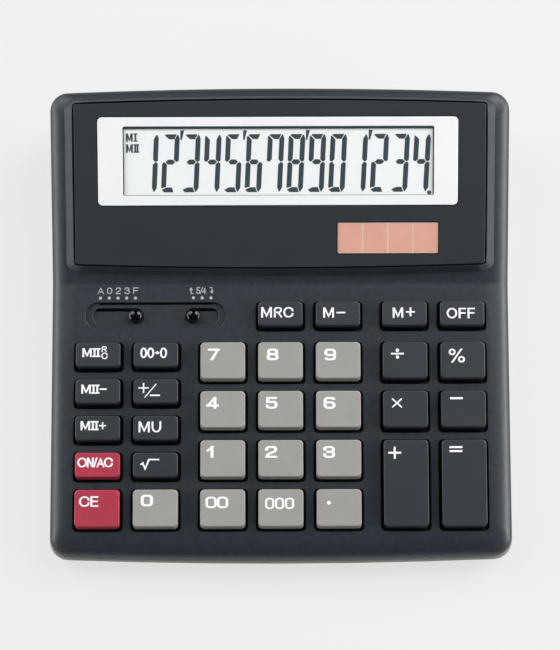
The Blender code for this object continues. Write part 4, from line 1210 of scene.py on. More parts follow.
# The bold figures of the light keys
SQUARED = {
    "0": [Stroke(((0, 0), (1, 0), (1, 1), (0, 1)), 0.24, True)],
    "1": [Stroke(((0.75, 0), (0.75, 1))), Stroke(((0.8, 0.99), (0.02, 0.64)))],
    "2": [
        Stroke(((0, 0.74), (0, 1), (1, 1), (1, 0.6), (0.72, 0.46), (0.1, 0.28), (0, 0)), 0.2),
        Stroke(((0, 0), (1, 0))),
    ],
    "3": [
        Stroke(((0, 0.76), (0, 1), (0.97, 1), (0.97, 0.54), (0.36, 0.54)), 0.2),
        Stroke(((0.36, 0.52), (1, 0.52), (1, 0), (0, 0), (0, 0.24)), 0.2),
    ],
    "4": [
        Stroke(((0.76, 0), (0.76, 1))),
        Stroke(((0, 0.22), (1, 0.22))),
        Stroke(((0.02, 0.22), (0.7, 1))),
    ],
    "5": [
        Stroke(((0.94, 1), (0.08, 1), (0.06, 0.6))),
        Stroke(((0.06, 0.58), (1, 0.6), (1, 0), (0, 0), (0, 0.2)), 0.2),
    ],
    "6": [
        Stroke(((0.96, 0.9), (0.94, 1), (0, 1), (0, 0), (1, 0), (1, 0.55), (0.06, 0.55)), 0.22),
    ],
    "7": [Stroke(((0, 1), (1, 1))), Stroke(((0.98, 1), (0.3, 0)), level=True)],
    "8": [
        Stroke(((0.05, 0.54), (0.95, 0.54), (0.95, 1), (0.05, 1)), 0.17, True),
        Stroke(((0, 0), (1, 0), (1, 0.52), (0, 0.52)), 0.19, True),
    ],
    "9": [
        Stroke(((0.04, 0.1), (0.06, 0), (1, 0), (1, 1), (0, 1), (0, 0.45), (0.94, 0.45)), 0.22),
    ],
    ".": [Dot(0.5, 0.5, 1.0)],
}
# The signs of the dark and red keys, the switches and the display
PLAIN = {
    "A": [Stroke(((0, 0), (0.5, 1), (1, 0)), level=True), Stroke(((0.2, 0.3), (0.8, 0.3)))],
    "C": [Stroke(((1, 0.68), (1, 1), (0, 1), (0, 0), (1, 0), (1, 0.32)), OVAL)],
    "E": [Stroke(((1, 1), (0, 1), (0, 0), (1, 0))), Stroke(((0, 0.52), (0.92, 0.52)))],
    "F": [Stroke(((1, 1), (0, 1), (0, 0))), Stroke(((0, 0.52), (0.9, 0.52)))],
    "M": [
        Stroke(((0, 0), (0, 1))),
        Stroke(((1, 0), (1, 1))),
        Stroke(((0.06, 1), (0.5, 0), (0.94, 1)), level=True),
    ],
    "N": [
        Stroke(((0, 0), (0, 1))),
        Stroke(((1, 0), (1, 1))),
        Stroke(((0.06, 1), (0.94, 0)), level=True),
    ],
    "O": [Stroke(((0, 0), (1, 0), (1, 1), (0, 1)), OVAL, True)],
    "R": [
        Stroke(((0, 0), (0, 1), (0.94, 1), (0.94, 0.5), (0, 0.5)), 0.24),
        Stroke(((0.5, 0.5), (0.98, 0)), level=True),
    ],
    "U": [Stroke(((0, 1), (0, 0), (1, 0), (1, 1)), 0.42)],
    "II": [
        *(Stroke(((u, 0), (u, 1))) for u in (0.22, 0.78)),
        *(Stroke(((u, v), (u + 0.42, v))) for u in (0.01, 0.57) for v in (0, 1)),
    ],
    "I": [Stroke(((0.5, 0), (0.5, 1))), Stroke(((0, 0), (1, 0))), Stroke(((0, 1), (1, 1)))],
    "0": [Stroke(((0, 0), (1, 0), (1, 1), (0, 1)), OVAL, True)],
    "2": [
        Stroke(((0, 0.72), (0, 1), (1, 1), (1, 0.58), (0.1, 0.2), (0, 0)), 0.28),
        Stroke(((0, 0), (1, 0))),
    ],
    "3": [
        Stroke(((0, 0.76), (0, 1), (0.95, 1), (0.95, 0.54), (0.4, 0.54)), 0.26),
        Stroke(((0.4, 0.54), (1, 0.54), (1, 0), (0, 0), (0, 0.24)), 0.26),
    ],
    "4": [Stroke(((0.75, 0), (0.75, 1), (0, 0.26), (1, 0.26)))],
    "5": [
        Stroke(((0.95, 1), (0.1, 1), (0.05, 0.56))),
        Stroke(((0.05, 0.56), (1, 0.6), (1, 0), (0, 0), (0, 0.2)), 0.26),
    ],
    "+": [Stroke(((0, 0.5), (1, 0.5))), Stroke(((0.5, 0), (0.5, 1)))],
    "-": [Stroke(((0, 0.5), (1, 0.5)))],
    "=": [Stroke(((0, 0), (1, 0))), Stroke(((0, 1), (1, 1)))],
    "x": [Stroke(((0, 0), (1, 1))), Stroke(((0, 1), (1, 0)))],
    "/": [Stroke(((0, 0), (1, 1)), level=True)],
    "divide": [Stroke(((0, 0.5), (1, 0.5))), Dot(0.5, 0.02, 1.7), Dot(0.5, 0.98, 1.7)],
    "percent": [
        Stroke(((0, 0.6), (0.36, 0.6), (0.36, 1), (0, 1)), OVAL, True),
        Stroke(((0.64, 0), (1, 0), (1, 0.4), (0.64, 0.4)), OVAL, True),
        Stroke(((0.2, 0), (0.8, 1)), level=True),
    ],
    "root": [Stroke(((0, 0.55), (0.1, 0.66), (0.24, 0.06), (0.46, 1), (1, 1)))],
    "to": [
        Stroke(((0, 0.5), (0.7, 0.5))),
        Stroke(((0.5, 0.62), (0.92, 0.5), (0.5, 0.38))),
    ],
    "up": [
        Stroke(((0.4, 0.85), (0.4, 0), (1, 0))),
        Stroke(((0, 0.62), (0.4, 1), (0.8, 0.62))),
    ],
    "down": [
        Stroke(((0.6, 0.15), (0.6, 1), (0, 1))),
        Stroke(((0.2, 0.38), (0.6, 0), (1, 0.38))),
    ],
}


@dataclass(frozen=True)
class Pen:
    """The pen of a lettering: the width of upright strokes and the height of level ones."""

    upright: float
    flat: float
    arc_steps: int = 6
    arc_handle: float = 0.5523
    end_share: float = 0.98
    side_share: float = 0.5
    steep: float = 0.2
    mitre: float = 3.5
    same: float = 1e-3

    def centre_line(self, sign: Stroke, width: float, height: float) -> list[Vector]:
        """The stroke's centre line in metres, with its corners rounded.

        Args:
            sign: the stroke.
            width: width of the sign, outside the ink.
            height: its height.
        Returns:
            The points of the line.
        """
        points = [
            Vector((
                self.upright / 2 + u * (width - self.upright),
                self.flat / 2 + v * (height - self.flat),
            ))
            for u, v in sign.points
        ]
        if not sign.soft:
            return points
        found = []
        last = len(points) - 1
        for i, corner in enumerate(points):
            if not sign.closed and i in (0, last):
                found.append(corner)
                continue
            found += self.rounded(points, i, sign, height)
        return found

    def rounded(self, points: list[Vector], i: int, sign: Stroke, height: float) -> list[Vector]:
        """One corner of a centre line as an arc that takes at most its share of each side.

        Args:
            points: the corners of the line.
            i: the corner's number.
            sign: the stroke.
            height: height of the sign.
        Returns:
            The points of the arc.
        """
        corner, last = points[i], len(points) - 1
        ends = []
        for j in (i - 1, (i + 1) % (last + 1)):
            side = points[j] - corner
            share = self.end_share if not sign.closed and j in (0, last) else self.side_share
            ends.append(corner + side * min(share, sign.soft * height / side.length))
        start, end = ends
        first, second = start.lerp(corner, self.arc_handle), end.lerp(corner, self.arc_handle)
        found = []
        for step in range(self.arc_steps + 1):
            t = step / self.arc_steps
            a, b, c = start.lerp(first, t), first.lerp(second, t), second.lerp(end, t)
            found.append(a.lerp(b, t).lerp(b.lerp(c, t), t))
        return found

    def edges(self, sign: Stroke, width: float, height: float) -> tuple[list[Vector], list[Vector]]:
        """The two edges of the stroke's ink.

        Args:
            sign: the stroke.
            width: width of the sign.
            height: its height.
        Returns:
            The points on the left and on the right of the line.
        """
        line = self.centre_line(sign, width, height)
        half = Vector((self.upright / 2, self.flat / 2))
        line = [Vector((p.x / half.x, p.y / half.y)) for p in line]
        line = [p for i, p in enumerate(line) if i == 0 or (p - line[i - 1]).length > self.same]
        if sign.closed and (line[0] - line[-1]).length < self.same:
            line.pop()
        count = len(line)
        left, right = [], []
        for i, point in enumerate(line):
            before = line[i - 1] if i or sign.closed else None
            after = line[(i + 1) % count] if i < count - 1 or sign.closed else None
            for side, found in ((1, left), (-1, right)):
                spot = self.edge_point(before, point, after, side, sign, height / half.y)
                x = min(max(spot.x * half.x, 0), width)
                y = min(max(spot.y * half.y, 0), height)
                found.append(Vector((x, y)))
        return left, right

    def edge_point(
        self,
        before: Vector | None,
        point: Vector,
        after: Vector | None,
        side: int,
        sign: Stroke,
        top: float,
    ) -> Vector:
        """A point beside the line, where the pen has a radius of 1.

        Args:
            before: the point before, if any.
            point: the point on the line.
            after: the point after, if any.
            side: 1 for the left edge, -1 for the right one.
            sign: the stroke.
            top: height of the sign in pen radii.
        Returns:
            The mitred corner, or the end of the ink.
        """
        ways = []
        if before is not None:
            ways.append((point - before).normalized())
        if after is not None:
            ways.append((after - point).normalized())
        normals = [Vector((-way.y, way.x)) * side for way in ways]
        if len(ways) == 2:
            middle = (normals[0] + normals[1]).normalized()
            return point + middle * min(1 / max(middle.dot(normals[0]), self.steep), self.mitre)
        way, normal = ways[0], normals[0]
        outward = -way if before is None else way
        if sign.level and abs(way.y) > self.steep:
            reach = 1 + self.steep / 2
            edge = 0 if point.y < reach else top if point.y > top - reach else point.y
            start = point + normal
            return start + way * ((edge - start.y) / way.y)
        return point + normal + outward


class Mark(NamedTuple):
    """A sign and the box of its ink, in metres from the middle of what carries it."""

    sign: str
    left: float
    low: float
    width: float
    height: float
    pen: Pen
    squared: bool = False


@dataclass
class Lettering:
    """Printed signs: flat ink on a key, on the deck or in the display."""

    thickness: float = 0.03 * MM
    stagger: float = 0.002 * MM

    def sheet(self, marks: Sequence[Mark], x: float, v: float, w: float) -> tuple[list, list]:
        """The faces of the ink.

        Args:
            marks: the signs.
            x: middle of the carrier.
            v: middle of the carrier, up the slope.
            w: height of the carrier's surface.
        Returns:
            Points and faces.
        """
        points, faces = [], []
        for mark in marks:
            table = SQUARED if mark.squared else PLAIN
            for number, sign in enumerate(table[mark.sign]):
                base = len(points)
                rise = w + number * self.stagger
                shift = Vector((x + mark.left, v + mark.low))
                if isinstance(sign, Dot):
                    ring = self.disc(sign, mark)
                    points += [(*(shift + p), rise) for p in ring]
                    faces.append(tuple(range(base, base + len(ring))))
                    continue
                left, right = mark.pen.edges(sign, mark.width, mark.height)
                for a, b in zip(left, right):
                    points += [(*(shift + a), rise), (*(shift + b), rise)]
                count = len(left) if sign.closed else len(left) - 1
                for i in range(count):
                    j = (i + 1) % len(left)
                    faces.append((base + 2 * i, base + 2 * i + 1, base + 2 * j + 1, base + 2 * j))
        return points, faces

    def disc(self, dot: Dot, mark: Mark) -> list[Vector]:
        """The outline of a dot in its sign's box.

        Args:
            dot: the dot.
            mark: the sign that has it.
        Returns:
            Its points.
        """
        radius = dot.size * mark.pen.upright / 2
        low = radius + dot.v * (mark.height - 2 * radius)
        return [Vector(point) for point in circle(dot.u * mark.width, low, radius)]

    def print_on(
        self, name: str, marks: Sequence[Mark], top: Top, x: float = 0.0, v: float = 0.0, w: float = 0.0
    ) -> bpy.types.Object:
        """Thin raised ink in the shape of the signs, sunk a little into its carrier.

        Args:
            name: the new object's name.
            marks: the signs.
            top: the surface that carries them.
            x: middle of the carrier.
            v: middle of the carrier, up the slope.
            w: height of its surface over the top.
        Returns:
            The ink as one object.
        """
        ink = raised(name, *self.sheet(marks, x, v, w - HIDDEN), self.thickness + HIDDEN)
        return place(ink, top.matrix)


# Display


@dataclass
class DisplayUnit:
    """The face plate with the white frame, the display cell and the solar cell."""

    half: float = 67.9 * MM
    front: float = 5.5 * MM
    rear: float = 60.5 * MM
    corner: float = 1.0 * MM
    edge: float = 0.25 * MM
    rise: float = 2.6 * MM
    seat: float = 1.1 * MM
    bezel: Section = Section(-60.1 * MM, 58.7 * MM, 26.0 * MM, 55.0 * MM, 1.1 * MM)
    bezel_corner: float = 1.5 * MM
    bezel_rise: float = 0.2 * MM
    edge_steps: int = 3
    window: Section = Section(-51.85 * MM, 50.85 * MM, 29.25 * MM, 51.95 * MM, 0.5 * MM)
    window_corner: float = 0.6 * MM
    window_chamfer: float = 0.12 * MM
    glass_border: float = 2.6 * MM
    glass_corner: float = 0.2 * MM
    glass_play: float = 0.03 * MM
    glass_low: float = -1.4 * MM
    glass_top: float = 0.8 * MM
    face_height: float = 2.15 * MM
    # The frame's painted shadow inside the window: its widths at the sides, front and rear, its top, and
    # its outer and inner corner radii
    shadow_side: float = 0.34 * MM
    shadow_front: float = 0.12 * MM
    shadow_rear: float = 0.75 * MM
    shadow_top: float = 2.55 * MM
    shadow_corners: tuple = (0.55 * MM, 0.4 * MM)
    solar: Section = Section(19.0 * MM, 52.4 * MM, 10.0 * MM, 20.2 * MM, 1.1 * MM)
    solar_top: float = 2.3 * MM
    solar_edge: float = 0.1 * MM
    solar_corner: float = 0.4 * MM
    cell_corner: float = 0.5 * MM
    film: float = 0.03 * MM
    film_border: float = 0.25 * MM
    strips: int = 4
    strip_gap: float = 0.5 * MM
    strip_corner: float = 0.15 * MM

    def plate(self) -> bpy.types.Object:
        """The dark plate with its two openings.

        Returns:
            The plate.
        """
        body = Section(-self.half, self.half, self.front, self.rear, self.seat)
        sections = [body, body.drawn_in(0, self.rise - self.edge)]
        sections += rounded_top(body, self.rise, self.edge, self.edge_steps)
        plate = moulding("display_face_plate", sections, self.corner, 6, BOW_CUTS)
        bowed(plate, body)
        window = self.bezel.drawn_in(-CLEAR, 0)
        opening = [window, window.drawn_in(0, 2 * self.rise)]
        tools = [moulding("frame_opening", opening, self.bezel_corner + CLEAR, 8)]
        cell = self.solar.drawn_in(-CLEAR, 0)
        opening = [cell, cell.drawn_in(0, 2 * self.rise)]
        tools.append(moulding("cell_opening", opening, self.cell_corner, 4))
        cut(plate, tools)
        smooth(place(plate, Top.HOOD.matrix), 40)
        return plate

    def frame_ring(self) -> bpy.types.Object:
        """The white frame: rounded outer edge and a sharp-edged window.

        Returns:
            The frame.
        """
        body = self.bezel
        top = self.rise + self.bezel_rise
        sections = [body, body.drawn_in(0, top - self.bezel_rise)]
        sections += rounded_top(body, top, self.bezel_rise, self.edge_steps)
        ring = moulding("display_frame", sections, self.bezel_corner, 8)
        hole, chamfer = self.window, self.window_chamfer
        opening = [
            hole,
            hole.drawn_in(0, top - chamfer),
            hole.drawn_in(-2 * chamfer, top + chamfer),
        ]
        cut(ring, [moulding("window", opening, self.window_corner, 5)])
        smooth(place(ring, Top.HOOD.matrix), 40)
        return ring

    def display_cell(self) -> bpy.types.Object:
        """The liquid crystal cell, stepped where its front glass stands in the window.

        Returns:
            The cell.
        """
        face = self.clear_of_shadow(self.glass_top).drawn_in(self.glass_play, self.glass_top)
        slab = self.window.drawn_in(-self.glass_border, self.glass_low)
        sections = [slab, slab.drawn_in(0, self.glass_top), face, face.drawn_in(0, self.face_height)]
        cell = moulding("display_cell", sections, self.glass_corner, 2)
        smooth(place(cell, Top.HOOD.matrix))
        return cell

    def clear_of_shadow(self, height: float) -> Section:
        """What the painted shadow leaves of the window.

        Args:
            height: height of the section.
        Returns:
            The section.
        """
        return Section(
            self.window.left + self.shadow_side, self.window.right - self.shadow_side,
            self.window.front + self.shadow_front, self.window.rear - self.shadow_rear, height,
        )

    def painted_shadow_strip(self) -> bpy.types.Object:
        """A dark strip round the inside of the window, widest at the rear: the frame's painted shadow on
        the cell.

        Returns:
            The strip.
        """
        outside, inside = self.shadow_corners
        outer = self.window.drawn_in(0, self.glass_top + HIDDEN)
        inner = self.clear_of_shadow(0)
        ring = moulding("painted_window_shadow", [outer, outer.drawn_in(0, self.shadow_top)], outside, 5)
        cut(ring, [moulding("hole", [inner, inner.drawn_in(0, 2 * self.rise)], inside, 4)])
        smooth(place(ring, Top.HOOD.matrix))
        return ring

    def solar_pieces(self) -> tuple[bpy.types.Object, bpy.types.Object]:
        """The solar cell's glass body and its film in separate strips.

        Returns:
            The body and the strips.
        """
        body, edge = self.solar, self.solar_edge
        top = self.solar_top - self.film
        sections = [body, body.drawn_in(0, top - edge), body.drawn_in(edge, top)]
        base = moulding("solar_cell_body", sections, self.solar_corner, 3)
        inner = body.drawn_in(self.film_border, top - HIDDEN)
        pitch = (inner.size[0] + self.strip_gap) / self.strips
        strips = []
        for number in range(self.strips):
            left = inner.left + number * pitch
            low = Section(left, left + pitch - self.strip_gap, inner.front, inner.rear, inner.height)
            rings = [low, low.drawn_in(0, self.solar_top)]
            strips.append(moulding("strip", rings, self.strip_corner, 2))
        film = joined("solar_cell_strips", strips)
        for piece in (base, film):
            smooth(place(piece, Top.HOOD.matrix))
        return base, film

    def build(self) -> None:
        """Makes the face of the display unit."""
        register(self.plate(), FACE_PLATE, Slot.PANEL, "case", ["display_panel"])
        register(self.frame_ring(), WHITE_FRAME, Slot.WHITE, "case", ["display_bezel"])
        register(self.display_cell(), DISPLAY_CELL, Slot.GLASS, "case", ["display_glass"])
        # The frame's painted shadow on the cell, a dark strip inside the window
        register(self.painted_shadow_strip(), WINDOW_SHADOW, Slot.GLASS, "case")
        base, strips = self.solar_pieces()
        register(base, SOLAR_BASE, Slot.SOLAR, "case", ["solar_cell"])
        register(strips, SOLAR_FILM, Slot.SOLAR, "case")
        Readout(self.face_height).build()


@dataclass
class Readout:
    """The figures that the display shows, as raised driven segments."""

    surface: float
    figures: str = "12345678901234"
    first_right: float = -39.85 * MM
    pitch: float = 6.9 * MM
    width: float = 5.45 * MM
    top: float = 49.4 * MM
    low: float = 30.35 * MM
    stroke: float = 1.62 * MM
    chamfer: float = 1.1 * MM
    gap: float = 0.16 * MM
    slant: float = math.tan(math.radians(2.9))
    waist: float = 0.522
    thickness: float = 0.03 * MM
    comma: tuple = ((0.15, 47.5), (0.6, 47.5), (1.45, 50.7), (0.15, 50.7))
    comma_after: tuple = (1, 4, 7, 10)
    point: tuple = (49.3 * MM, 30.1 * MM, 0.66 * MM)
    lit: dict = field(
        default_factory=lambda: {
            "0": "abcdef", "1": "bc", "2": "abdeg", "3": "abcdg", "4": "bcfg",
            "5": "acdfg", "6": "acdefg", "7": "abcf", "8": "abcdefg", "9": "abcdfg",
        }
    )

    def segments(self) -> dict[str, list[tuple[float, float]]]:
        """The outline of each segment, from the figure's lower left corner, before slanting.

        Returns:
            The outlines by the segments' usual letters.
        """
        w, h, u, g = self.width, self.top - self.low, self.stroke, self.gap
        m = h * self.waist
        part = self.chamfer
        right, rim = w - u, h - g
        return {
            "a": [
                (0.3 * u, h - 0.22 * u), (0.55 * u, h), (w - 0.64 * u, h), (right - g, h - u),
                (1.25 * u, h - u),
            ],
            "b": [
                (right, m + 0.52 * u), (right + 0.45 * u, m + g / 2), (right + 0.65 * u, m + g / 2),
                (w, m + 0.3 * u), (w, h - 1.3 * part), (right + 0.68 * u, rim), (right + 0.52 * u, rim),
                (right, h - u),
            ],
            "c": [
                (right, u), (right + 0.36 * u, g), (right + 0.52 * u, g), (w, 1.3 * part),
                (w, m - 0.3 * u), (right + 0.65 * u, m - g / 2), (right + 0.45 * u, m - g / 2),
                (right, m - 0.52 * u),
            ],
            "d": [(g, 0.5 * u), (part, 0), (w - 0.78 * u, 0), (right - 2 * g, u), (1.1 * u, u)],
            "e": [
                (0, 0.82 * u), (u, u + g), (u, m - 0.52 * u), (0.55 * u, m - g / 2),
                (0.35 * u, m - g / 2), (0, m - 0.3 * u),
            ],
            "f": [
                (0, m + 0.3 * u), (0.35 * u, m + g / 2), (0.55 * u, m + g / 2), (u, m + 0.52 * u),
                (u, h - 1.1 * u), (0.2 * u, h - 0.32 * u), (0, h - 0.5 * u),
            ],
            "g": [
                (0.71 * u, m), (1.15 * u, m - u / 2), (w - 1.25 * u, m - u / 2), (w - 0.71 * u, m),
                (w - 1.2 * u, m + u / 2), (1.2 * u, m + u / 2),
            ],
        }

    def slanted(self, left: float, outline: list[tuple[float, float]]) -> list[tuple[float, float, float]]:
        """An outline put in place and slanted to the right."""
        base = self.surface - HIDDEN
        return [(left + x + y * self.slant, self.low + y, base) for x, y in outline]

    def outlines(self) -> list[list[tuple[float, float, float]]]:
        """The outlines of all that is driven but the memory signs.

        Returns:
            The lit segments, the commas and the decimal point.
        """
        shapes = self.segments()
        found = []
        height, base = self.top - self.low, self.surface - HIDDEN
        for number, figure in enumerate(self.figures):
            right = self.first_right + number * self.pitch
            left = right - height * self.slant - self.width
            found += [self.slanted(left, shapes[key]) for key in self.lit[figure]]
        for number in self.comma_after:
            right = self.first_right + number * self.pitch
            found.append([(right + x * MM, v * MM, base) for x, v in self.comma])
        found.append([(x, v, base) for x, v in circle(*self.point)])
        return found

    def build(self) -> None:
        """Makes the figures, the commas and the memory signs."""
        points, faces = [], []
        for outline in self.outlines():
            faces.append(tuple(range(len(points), len(points) + len(outline))))
            points += outline
        figures = raised("display_figures", points, faces, self.thickness + HIDDEN)
        place(figures, Top.HOOD.matrix)
        register(figures, SEGMENT_FILM, Slot.GLASS, "case")
        fine = Pen(0.6 * MM, 0.42 * MM)
        marks = [
            Mark("M", -50.75 * MM, 47.0 * MM, 2.25 * MM, 2.75 * MM, fine),
            Mark("I", -48.2 * MM, 47.0 * MM, 1.2 * MM, 2.75 * MM, fine),
            Mark("M", -50.75 * MM, 43.4 * MM, 2.25 * MM, 2.8 * MM, fine),
            Mark("II", -48.3 * MM, 43.4 * MM, 1.95 * MM, 2.8 * MM, fine),
        ]
        signs = Lettering().print_on("display_memory_signs", marks, Top.HOOD, w=self.surface)
        register(signs, SEGMENT_FILM, Slot.GLASS, "case")


# Keys


class Shade(Enum):
    """The three colours of key caps."""

    DARK = "dark"
    LIGHT = "light"
    RED = "red"

    @property
    def finish(self) -> Finish:
        """The cap's finish."""
        return {Shade.DARK: DARK_KEY, Shade.LIGHT: LIGHT_KEY, Shade.RED: RED_KEY}[self]


class Key(NamedTuple):
    """One key: its place on the deck, its depth, its colour and its printed signs."""

    name: str
    x: float
    v: float
    depth: float
    shade: Shade
    marks: tuple


# The pens of the printed signs, from the bold figures to the smallest plus
BOLD = Pen(1.0 * MM, 0.68 * MM)
BOLD_ZERO = Pen(0.84 * MM, 0.62 * MM)
THIN_ZERO = Pen(0.7 * MM, 0.56 * MM)
LETTER = Pen(0.62 * MM, 0.48 * MM)
SMALL_LETTER = Pen(0.4 * MM, 0.34 * MM)
BAR = Pen(0.6 * MM, 0.46 * MM)
FINE = Pen(0.48 * MM, 0.42 * MM)
OPERATOR = Pen(0.66 * MM, 0.66 * MM)
HAIR = Pen(0.27 * MM, 0.26 * MM)


def figure(sign: str, left: float, low: float, width: float = 3.95, height: float = 3.88) -> tuple:
    """One bold figure in its box, in millimetres."""
    return (Mark(sign, left * MM, low * MM, width * MM, height * MM, BOLD, True),)


def word(
    signs: Sequence[str], lefts: Sequence[float], widths: Sequence[float], low: float, height: float,
    pen: Pen = LETTER, squared: bool = False,
) -> tuple:
    """Signs side by side.

    Args:
        signs: the signs' names.
        lefts: their left edges in millimetres from the key's middle.
        widths: their widths in millimetres.
        low: their lower edge in millimetres.
        height: their height in millimetres.
        pen: the pen.
        squared: whether they are squared figures.
    Returns:
        The marks.
    """
    return tuple(
        Mark(sign, left * MM, low * MM, width * MM, height * MM, pen, squared)
        for sign, left, width in zip(signs, lefts, widths)
    )


# What is printed on each key, as boxes measured from the key's middle
LEGENDS = {
    "memory_recall": word("MRC", (-6.35, -2.15, 0.95), (3.55, 2.85, 3.4), -1.32, 3.5),
    "memory_minus": word("M-", (-4.9, -0.5), (3.55, 2.95), -1.42, 3.4),
    "memory_plus": word("M", (-3.97,), (3.5,), -1.5, 3.4) + word("+", (0.45,), (2.95,), -1.0, 2.9),
    "off": word("OFF", (-5.18, -1.2, 1.75), (3.5, 2.45, 2.45), -1.76, 3.5),
    "memory_two_recall": word(("M", "II"), (-5.19, -1.95), (3.1, 2.75), -0.77, 2.9)
    + word("R", (1.15,), (1.85,), 0.86, 1.95, SMALL_LETTER)
    + word("C", (1.1,), (2.05,), -1.5, 2.2, SMALL_LETTER),
    "memory_two_minus": word(("M", "II", "-"), (-5.43, -2.15, 0.65), (3.15, 2.75, 2.3), -0.82, 3.0),
    "memory_two_plus": word(("M", "II"), (-5.56, -2.28), (3.15, 2.75), -0.74, 3.0)
    + word("+", (0.5,), (2.35,), -0.4, 2.3, FINE),
    "on_all_clear": word("ON/AC", (-6.54, -3.4, -1.35, -0.25, 2.2), (3.2, 2.3, 1.5, 2.75, 2.95), -0.8, 3.2),
    "clear_entry": word("CE", (-5.84, -2.1), (3.45, 2.6), 0.52, 3.4),
    "backspace": word("000", (-5.12, -2.86, 1.35), (2.2, 2.3, 2.35), -1.2, 3.5)
    + word(("to",), (-0.45,), (1.75,), -1.2, 3.5, SMALL_LETTER),
    "sign_change": word("+", (-5.69,), (3.4,), -0.6, 3.3, FINE)
    + word("/", (-3.85,), (4.3,), -2.1, 4.5, BAR)
    + word("-", (-1.9,), (3.35,), -1.65, 0.5),
    "mark_up": word("MU", (-5.57, -1.3), (3.7, 3.2), -1.5, 3.6),
    "square_root": word(("root",), (-5.02,), (6.35,), -1.95, 3.9),
    "zero": figure("0", -4.73, 0.6, 4.05, 3.8),
    "seven": figure("7", -4.91, 0.05),
    "four": figure("4", -5.47, 0.2, 4.2),
    "one": figure("1", -5.46, 0.27, 2.95),
    "double_zero": word("00", (-5.62, -1.85), (3.7, 3.7), -0.05, 3.75, BOLD_ZERO, True),
    "eight": figure("8", -4.58, 0.0),
    "five": figure("5", -4.96, 0.16),
    "two": figure("2", -5.12, 0.19),
    "triple_zero": word("000", (-5.17, -1.93, 1.33), (3.0, 3.0, 3.0), -0.4, 3.7, THIN_ZERO, True),
    "nine": figure("9", -4.67, -0.08),
    "six": figure("6", -4.95, 0.08),
    "three": figure("3", -5.17, 0.11),
    "decimal_point": (Mark(".", -4.03 * MM, 0.95 * MM, 1.3 * MM, 1.3 * MM, Pen(1.3 * MM, 1.3 * MM), True),),
    "divide": word(("divide",), (-4.7,), (4.3,), 0.36, 3.45, Pen(0.66 * MM, 0.54 * MM)),
    "multiply": word("x", (-4.6,), (3.5,), 0.3, 3.25, OPERATOR),
    "add": word("+", (-5.87,), (4.25,), 7.83, 3.95, OPERATOR),
    "percent": word(("percent",), (-4.68,), (5.35,), -0.92, 4.6, Pen(0.58 * MM, 0.54 * MM)),
    "subtract": word("-", (-4.45,), (4.2,), 3.12, 0.66, Pen(0.66 * MM, 0.66 * MM)),
    "equals": word("=", (-4.85,), (4.25,), 10.0, 1.9, Pen(0.62 * MM, 0.62 * MM)),
}


